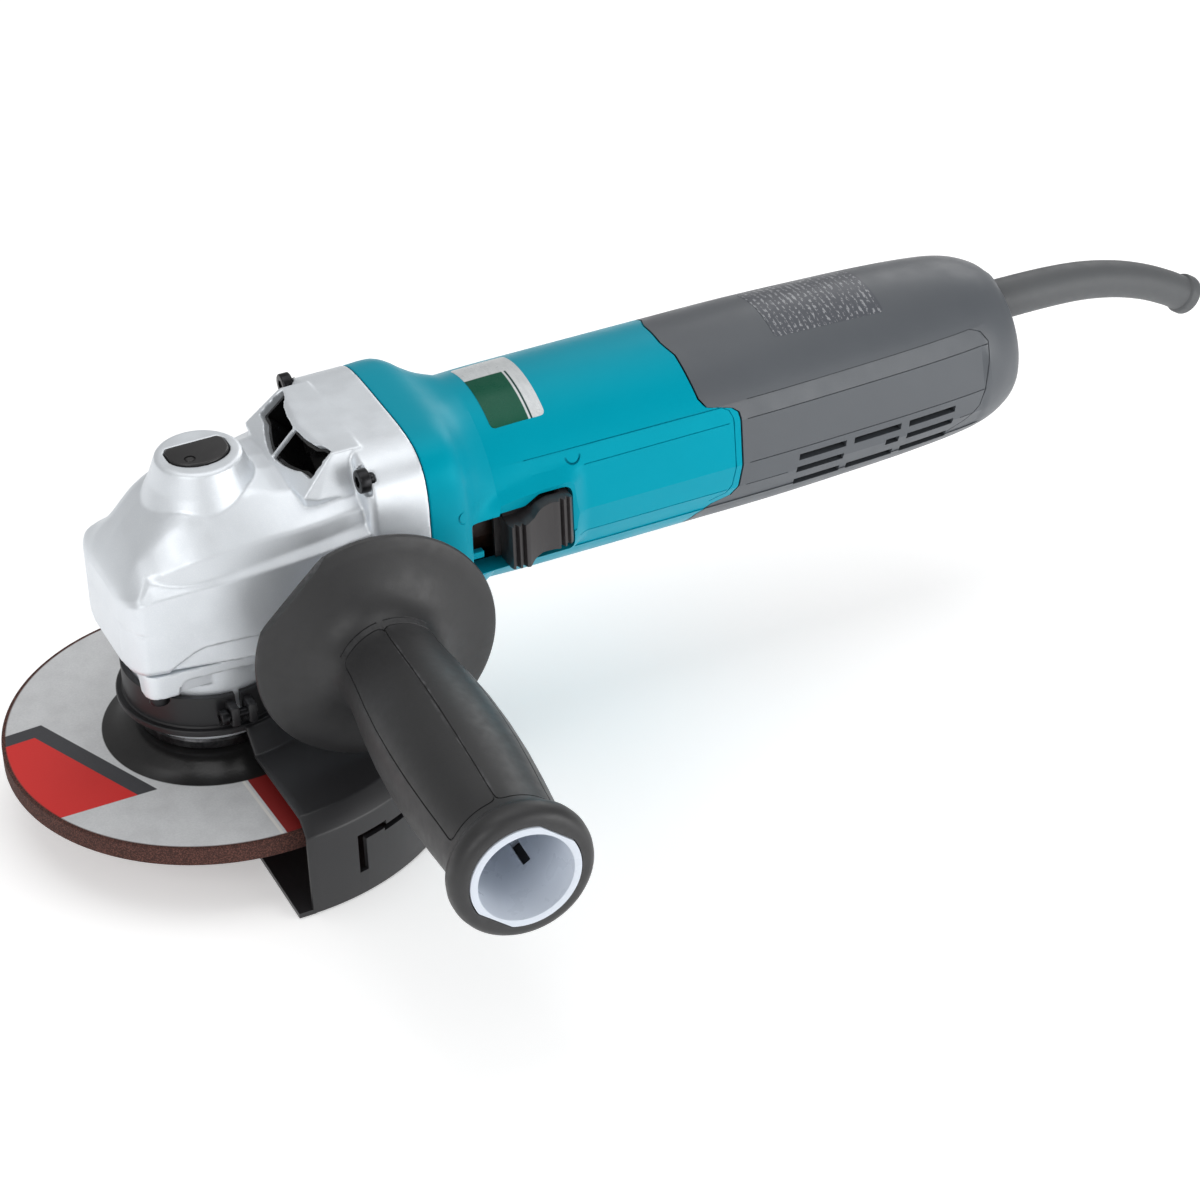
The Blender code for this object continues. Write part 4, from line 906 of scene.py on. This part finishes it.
def body_section(x, inset, shrink=0.0, step=3.5, swollen=False):
    """The barrel's cross-section: round above and below, flat facets on both sides."""
    if x < COLLAR_SHAPES[-1][0]:
        half_w, half_h, power = between(COLLAR_SHAPES, x)
    else:
        half_w = half_h = between(BODY_RADII, x)[0]
        power = 2.0
    half_w -= shrink
    half_h -= shrink
    limit = half_h * 0.93
    flatness = panel_inset(x) / PANEL_INSET
    facets = [max(-limit, min(limit, z)) for z in FACETS]

    def width(z):
        return half_w * max(0.0, 1 - abs(z / half_h) ** power) ** (1 / power)

    def arc(z_start, upper, count=30):
        start = math.asin((abs(z_start) / half_h) ** (power / 2))
        points = []
        for k in range(count + 1):
            a = start + (math.pi - 2 * start) * k / count
            points.append((half_w * math.copysign(abs(math.cos(a)) ** (2 / power), math.cos(a)),
                           (1 if upper else -1) * half_h * math.sin(a) ** (2 / power)))
        return points

    def flat(sign, order):
        points = []
        for a, b in zip(order, order[1:]):
            ya, yb = width(a) - inset, width(b) - inset
            count = max(2, round(abs(b - a) / step))
            for k in range(count):
                z = a + (b - a) * k / count
                flat_y = ya + (yb - ya) * k / count
                points.append((sign * (flat_y + (width(z) - flat_y) * (1 - flatness)), z))
        points.append((sign * (width(order[-1]) - inset * flatness), order[-1]))
        return points

    ring = arc(facets[0], True) + flat(-1, facets)
    ring += [(-y, z) for y, z in arc(facets[-1], False)] + flat(1, facets[::-1])
    ring = [(x, y, AXIS_Z + z) for y, z in ring]
    if swollen:
        ring = [(x, -fairing(x, z, -y) if y < 0 else y, z) for x, y, z in ring]
    return ring


def side_width(x, z, swollen=False):
    """How far the barrel's side stands from the middle plane; the grip side if swollen."""
    sign = -1 if swollen else 1
    side = sorted((h, sign * y) for _, y, h in body_section(x, panel_inset(x), 0.0, 1.0, swollen) if sign * y > 0)
    for (z0, y0), (z1, y1) in zip(side, side[1:]):
        if z0 <= z <= z1 and z1 > z0:
            return y0 + (y1 - y0) * (z - z0) / (z1 - z0)
    return side[-1][1]


def groove(name, path, point_at, width, depth, closed=False):
    """A tool for a fine line; the path is in surface millimetres and point_at(u, v, height) puts it in space."""
    dense = []
    for (u0, v0), (u1, v1) in zip(path, path[1:] + path[:1] if closed else path[1:]):
        count = max(1, int(math.hypot(u1 - u0, v1 - v0) / 3.0))
        dense += [(u0 + (u1 - u0) * k / count, v0 + (v1 - v0) * k / count) for k in range(count)]
    if not closed:
        dense.append(path[-1])
    rings = []
    for index, (u, v) in enumerate(dense):
        before = dense[index - 1] if index or closed else dense[0]
        after = dense[(index + 1) % len(dense)] if index + 1 < len(dense) or closed else dense[-1]
        along = Vector((after[0] - before[0], after[1] - before[1])).normalized() * width / 2
        corners = ((-0.3, -depth), (0.3, -depth), (1.0, 0.4), (1.0, 1.2), (-1.0, 1.2), (-1.0, 0.4))
        rings.append([point_at(u - along.y * k, v + along.x * k, h) for k, h in corners])
    return skin(name, rings, closed)


def side_lines(lines, swollen):
    """Tools for the fine lines on both sides of the barrel."""
    tools = []
    for path in lines:
        tools.append(groove("line", list(path), lambda x, z, h: (x, side_width(x, z) + h, z), LINE_WIDTH, LINE_DEPTH))
        tools.append(groove("line", list(path), lambda x, z, h: (x, -side_width(x, z, swollen) - h, z), LINE_WIDTH,
                            LINE_DEPTH))
    return tools


def smooth_step(x, low, high):
    t = max(0.0, min(1.0, (x - low) / (high - low)))
    return t * t * (3 - 2 * t)


def panel_inset(x):
    return PANEL_INSET * smooth_step(x, 84.0, 96.0) * (1 - smooth_step(x, 243.5, 246.5))


def body(name, stations, step=3.5, swollen=False):
    return skin(name, [body_section(x, panel_inset(x), 0.0, step, swollen) for x in stations])


def spaced(low, high, step):
    count = max(1, round((high - low) / step))
    return [low + (high - low) * k / count for k in range(count + 1)]


def build_motor_housing(looks):
    stations = [59.3, 59.6] + spaced(60.8, 82.0, 1.3) + spaced(82.8, 112.0, 0.8) + spaced(114.0, 175.0, 3.0)
    housing = body("motor_case", stations, 0.8, True)
    inside = lathe("bore", [(0, 180.0), (28.3, 180.0), (28.3, 72.8), (29.2, 72.8), (29.2, 50.0), (0, 50.0)], 96, "X",
                   (0, 0, AXIS_Z))
    behind = prism("behind", list(SEAM_OUTLINE) + [(200.0, 30.0), (200.0, 104.0)], -40.0, 40.0, "Y")
    slot = prism("slot", fillet([(72.0, 56.4), (104.6, 56.4), (104.6, 77.4), (94.0, 77.4), (89.6, 74.6), (72.0, 74.0)],
                                [0.8, 2.5, 3.5, 3, 3, 0.8], 6), -45.0, -20.0, "Y")
    dish = prism("dish", fillet([(79.4, 70.0), (107.0, 60.0), (107.0, 79.6), (92.0, 79.8), (82.0, 77.0)],
                                [2, 4, 5, 5, 3], 8), -45.0, -31.6, "Y")
    cut(housing, inside, behind, dish, slot, *side_lines(MOTOR_LINES, True))
    marks = [ring_groove("mark", (107.0, -29.2, 84.0), 2.3, 0.6, 5.0), ring_groove("mark", (69.6, -36.0, 78.4), 2.0, 0.5, 3.2)]
    cut(housing, *marks)
    tooth = block("tooth", (72.4, -30.6, 60.4), (76.6, -28.2, 62.6))
    bevel(tooth, 0.4, 2)
    join(housing, tooth)
    piece(housing, "housing", looks["teal"], ["motor_housing"], 14)


def ring_groove(name, centre, radius, width, depth):
    """A round groove tool along Y, for an ejector mark or a plug outline."""
    x, y, z = centre
    outer, inner = radius + width / 2, radius - width / 2
    profile = [(outer, -depth / 2), (outer, depth / 2), (inner, depth / 2), (inner, -depth / 2)]
    return lathe(name, profile, 40, "Y", centre)


LOUVRES = ((63.2, ((179.4, 195.4), (198.2, 214.4), (217.2, 233.6))),
           (58.2, ((179.0, 195.0), (209.6, 214.2), (217.0, 233.4))),
           (52.5, ((179.2, 194.9), (197.2, 213.4), (216.0, 232.6))))


def build_rear_housing(looks):
    stations = spaced(130.0, 242.0, 2.5) + spaced(243.0, 259.0, 0.8) + [259.7, 260.3, 260.8]
    housing = body("rear_case", stations, 1.2)
    inner = [body_section(x, 0.0, 2.7) for x in [120.0, 150.0, 175.0, 200.0, 222.0, 240.0, 249.0, 254.0]]
    hollow = skin("hollow", inner)
    ahead = prism("ahead", [(x + 0.6, z) for x, z in SEAM_OUTLINE] + [(60.0, 30.0), (60.0, 104.0)], -40.0, 40.0, "Y")
    boss = rod("cord_boss", (246.0, 0, 79.0), (1, 0, 0), 10.5, 14.4, 48)
    bevel(boss, 1.2, 3)
    join(housing, boss)
    tools = []
    for z, spans in LOUVRES:
        for x0, x1 in spans:
            for y0, y1 in ((-40.0, -15.0), (15.0, 40.0)):
                tools.append(block("louvre", (x0, y0, z - 1.2), (x1, y1, z + 1.2)))
    outlet = rod("outlet", (235.0, 0, 79.0), (1, 0, 0), 6.6, 40.0, 48)
    cut(housing, hollow, ahead, outlet, *tools, *side_lines(REAR_LINES, False))
    piece(housing, "housing", looks["dark"], ["rear_housing"], 12)


def build_knob(looks):
    x0, x1 = 82.8, 103.6
    ridge = ((0.0, 34.6), (0.5, 36.0), (1.1, 36.2), (1.6, 34.9), (2.0, 34.9), (2.5, 36.5), (3.1, 36.6), (3.6, 35.2), (4.0, 35.2),
             (4.5, 36.8), (5.3, 37.0), (6.2, 36.7), (8.2, 36.3), (11.0, 36.1), (13.6, 36.3), (14.6, 36.7), (15.3, 36.7),
             (15.8, 35.1), (16.2, 35.1), (16.8, 36.4), (17.4, 36.4), (17.9, 35.0), (18.3, 35.0), (18.9, 35.9), (19.7, 35.4),
             (20.5, 34.0))
    outline = [(x0, -28.0)] + [(x0 + dx, -y) for dx, y in ridge] + [(x1, -32.6), (x1, -28.0)]
    knob = prism("slide_knob", outline, 50.0, 80.0)
    front = fillet([(82.6, 57.2), (88.4, 57.2), (90.0, 59.2), (92.4, 60.4), (103.8, 60.4), (103.8, 76.4), (95.6, 76.4),
                    (92.2, 75.2), (90.0, 72.8), (87.2, 71.6), (82.6, 71.6)], [0.6, 0.8, 2, 2, 2.5, 3.2, 3, 3, 2, 1, 0.6], 6)
    combine(knob, "INTERSECT", prism("front", front, -45.0, -20.0, "Y"))
    bevel(knob, 0.35, 3, 50)
    cut(knob, block("rebate", (82.0, -31.9, 73.7), (100.2, -20.0, 80.0)))
    join(knob, block("plate", (81.0, -27.9, 57.6), (103.4, -26.6, 73.4)),
         block("foot", (83.2, -29.4, 57.6), (103.2, -27.2, 73.4)),
         block("tail", (102.6, -27.3, 62.8), (110.6, -26.5, 73.8)))
    piece(knob, "switch", looks["knob"], ["switch_knob"], 35)


def build_label(looks, name, look, spans):
    """A thin printed label lying on the top of the barrel."""
    (x0, x1), (y0, y1) = spans
    places = spaced(x0 - 2.0, x1 + 2.0, 2.0)
    label = skin(name, [body_section(x, 0.0, -0.10) for x in places])
    inner = skin("inner", [body_section(x, 0.0, 0.10) for x in [x0 - 4.0] + places + [x1 + 4.0]])
    outline = fillet([(x0, y0), (x1, y0), (x1, y1), (x0, y1)], 1.6, 6)
    combine(label, "INTERSECT", prism("outline", outline, 80.0, 110.0))
    cut(label, inner)
    piece(label, "housing", looks[look], [], 30)


def build_cord_guard(looks):
    key = ((252.0, 79.0, 8.6), (254.6, 79.0, 8.6), (254.9, 79.0, 6.35), (262.0, 79.0, 6.35), (280.0, 78.7, 6.2),
           (293.0, 77.6, 6.0), (305.0, 75.0, 5.8), (315.5, 71.2, 5.6), (324.3, 66.7, 5.5), (329.2, 63.6, 5.5))
    path = [key[0], key[1], key[2]]
    bend = [(x, z, r) for x, z, r in key[2:]]
    for k in range(len(bend) - 1):
        for i in range(1, 7):
            x = bend[k][0] + (bend[k + 1][0] - bend[k][0]) * i / 6
            z, r = between(bend, x)
            path.append((x, z, r))
    path += [(329.6, 63.35, 6.1), (330.1, 63.05, 6.3), (331.8, 61.9, 6.3), (332.2, 61.6, 6.1)]
    outer, inner = [], []
    sides = 48
    for index, (x, z, radius) in enumerate(path):
        before, after = path[max(index - 1, 0)], path[min(index + 1, len(path) - 1)]
        tangent = Vector((after[0] - before[0], after[1] - before[1])).normalized()
        for ring, r in ((outer, radius), (inner, 3.6)):
            ring.append([(x - tangent.y * r * math.sin(a), r * math.cos(a), z + tangent.x * r * math.sin(a))
                         for a in [2 * math.pi * k / sides for k in range(sides)]])
    guard = skin("cord_sleeve", outer + inner[::-1], True)
    piece(guard, "housing", looks["cord_rubber"], ["cord_guard"], 40)


# ---------------------------------------------------------------- side grip

def grip_matrix():
    """Local +Z runs from the boss outwards along the grip, local +Y is up."""
    cant = math.radians(GRIP_CANT)
    outward = Vector((-math.sin(cant), -math.cos(cant), 0))
    up = Vector((0, 0, 1))
    side = up.cross(outward)
    turn = Matrix((side, up, outward)).transposed().to_4x4()
    return Matrix.Translation(mm(*GRIP_BASE)) @ turn


GRIP_OUTLINE = ((12.4, 14.5), (12.6, 30.0), (12.9, 35.0), (13.3, 35.8), (14.0, 36.0), (14.8, 35.7), (15.5, 34.6),
                (16.1, 31.5), (17.0, 27.5), (18.4, 23.4), (20.4, 20.0), (22.6, 17.7), (25.2, 16.2), (28.5, 15.5),
                (33.0, 15.6), (40.0, 16.3), (50.0, 17.5), (62.0, 18.5), (75.0, 18.9), (88.0, 18.7), (100.0, 18.0),
                (110.0, 17.2), (116.0, 16.9), (119.0, 17.0), (120.6, 17.6), (121.8, 18.9), (123.2, 20.0),
                (124.8, 20.4), (126.4, 20.35), (128.0, 19.9), (129.2, 19.0), (129.8, 17.9), (130.0, 16.8), (130.0, 15.9))
GRIP_BORE = ((118.0, 15.9), (108.0, 15.2), (60.0, 12.9), (30.0, 12.9), (26.0, 14.5))
CORE_OUTLINE = ((118.1, 15.6), (108.0, 14.9), (60.0, 12.6), (29.9, 12.6), (25.9, 14.2), (1.0, 14.2), (1.0, 5.4), (24.2, 5.4),
                (24.2, 10.6), (60.0, 10.6), (100.0, 12.6), (112.0, 13.2), (130.3, 13.5))
CORE_FLAT_ANGLE = 51.0
CORE_FLAT = 14.5
PANEL_ANGLES = ((98.0, 156.0), (40.0, 98.0), (278.0, 336.0), (220.0, 278.0))
PANEL_ENDS = (28.0, 116.8)
PANEL_R = 17.0


def grip_ring(t, radius, flatted=False):
    ring = []
    for k in range(180):
        a = math.radians(2 * k)
        r = radius
        if flatted:
            r = min(radius, (CORE_FLAT + radius - 15.6) / max(0.01, abs(math.cos(a - math.radians(CORE_FLAT_ANGLE)))))
        ring.append((r * math.cos(a), r * math.sin(a), t))
    return ring


def on_grip(u, v, height):
    r = between(GRIP_OUTLINE, v)[0] + height
    return (r * math.cos(u / PANEL_R), r * math.sin(u / PANEL_R), v)


def build_grip(looks):
    rings = [grip_ring(t, r) for t, r in GRIP_OUTLINE[:-1]] + [grip_ring(*GRIP_OUTLINE[-1], True)]
    rings += [grip_ring(*GRIP_BORE[0], True)] + [grip_ring(t, r) for t, r in GRIP_BORE[1:]]
    grip = skin("grip_sleeve", rings, True)
    flat = prism("flat", fillet([(-33.0, -60.0), (-33.0, 60.0), (-60.0, 60.0), (-60.0, -60.0)], 1.0, 3), 0.0, 24.0)
    place(flat, Matrix.Rotation(math.radians(-45), 4, "Z"))
    tools = [flat]
    for low, high in PANEL_ANGLES:
        u0, u1 = (math.radians(a) * PANEL_R for a in (low, high))
        corners = [(u0, PANEL_ENDS[0]), (u1, PANEL_ENDS[0]), (u1, PANEL_ENDS[1]), (u0, PANEL_ENDS[1])]
        tools.append(groove("panel", fillet(corners, 2.5, 5), on_grip, 0.7, 0.4, True))
        arc = [(u0 + 1.0, 25.6), ((u0 + u1) / 2, 25.6), (u1 - 1.0, 25.6)]
        tools.append(groove("arc", arc, on_grip, 0.6, 0.3))
    cut(grip, *tools)
    place(grip, grip_matrix())
    piece(grip, "housing", looks["rubber"], ["grip_rubber"], 30)

    rings = [grip_ring(130.3, 15.6, True), grip_ring(*CORE_OUTLINE[0], True)]
    rings += [grip_ring(t, r) for t, r in CORE_OUTLINE[1:]]
    core = skin("grip_liner", rings, True)
    window = sector("window", 10.0, 20.0, 297.5, 308.5, 101.2, 110.8)
    cut(core, window)
    place(core, grip_matrix())
    bevel(core, 0.25, 2, 50)
    piece(core, "housing", looks["white"], ["grip_core"])


# ---------------------------------------------------------------- CAD nodes that stay

KEPT = {
    "steel": ("spindle", "spindle_bearing", "spindle_bush", "ring_gear", "pinion", "armature_shaft", "front_bearing",
              "rear_bearing", "lock_pin"),
    "zinc": ("bearing_retainer", "grip_stud"),
    "varnish_and_shade": ("field_coil_front", "field_coil_rear"),
    "copper": ("armature_winding_front", "armature_winding_rear", "commutator"),
    "stack": ("stator_core", "armature_core"),
    "brass": ("brush_holder_top", "brush_holder_bottom"),
    "carbon": ("carbon_brush_top", "carbon_brush_bottom"),
    "black": ("fan", "fan_shroud", "bearing_bridge", "switch_rod", "switch_unit", "speed_controller",
              "cord_clamp"),
}


def paint_kept(looks):
    for look, names in KEPT.items():
        for name in names:
            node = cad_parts[name]
            node.data.materials.clear()
            node.data.materials.append(looks[look])


build_camera()
build_studio()
looks = build_materials()
paint_kept(looks)
build_gear_housing(looks)
build_exhaust_liner(looks)
build_button(looks)
build_screws(looks)
build_bearing_cover(looks)
build_wheel(looks)
build_guard(looks)
build_motor_housing(looks)
build_rear_housing(looks)
build_knob(looks)
build_label(looks, "front_label", "front_label", ((86.0, 103.0), (-18.0, 12.0)))
build_label(looks, "rear_label", "rear_label", ((179.5, 216.0), (-14.0, 12.0)))
build_cord_guard(looks)
build_grip(looks)
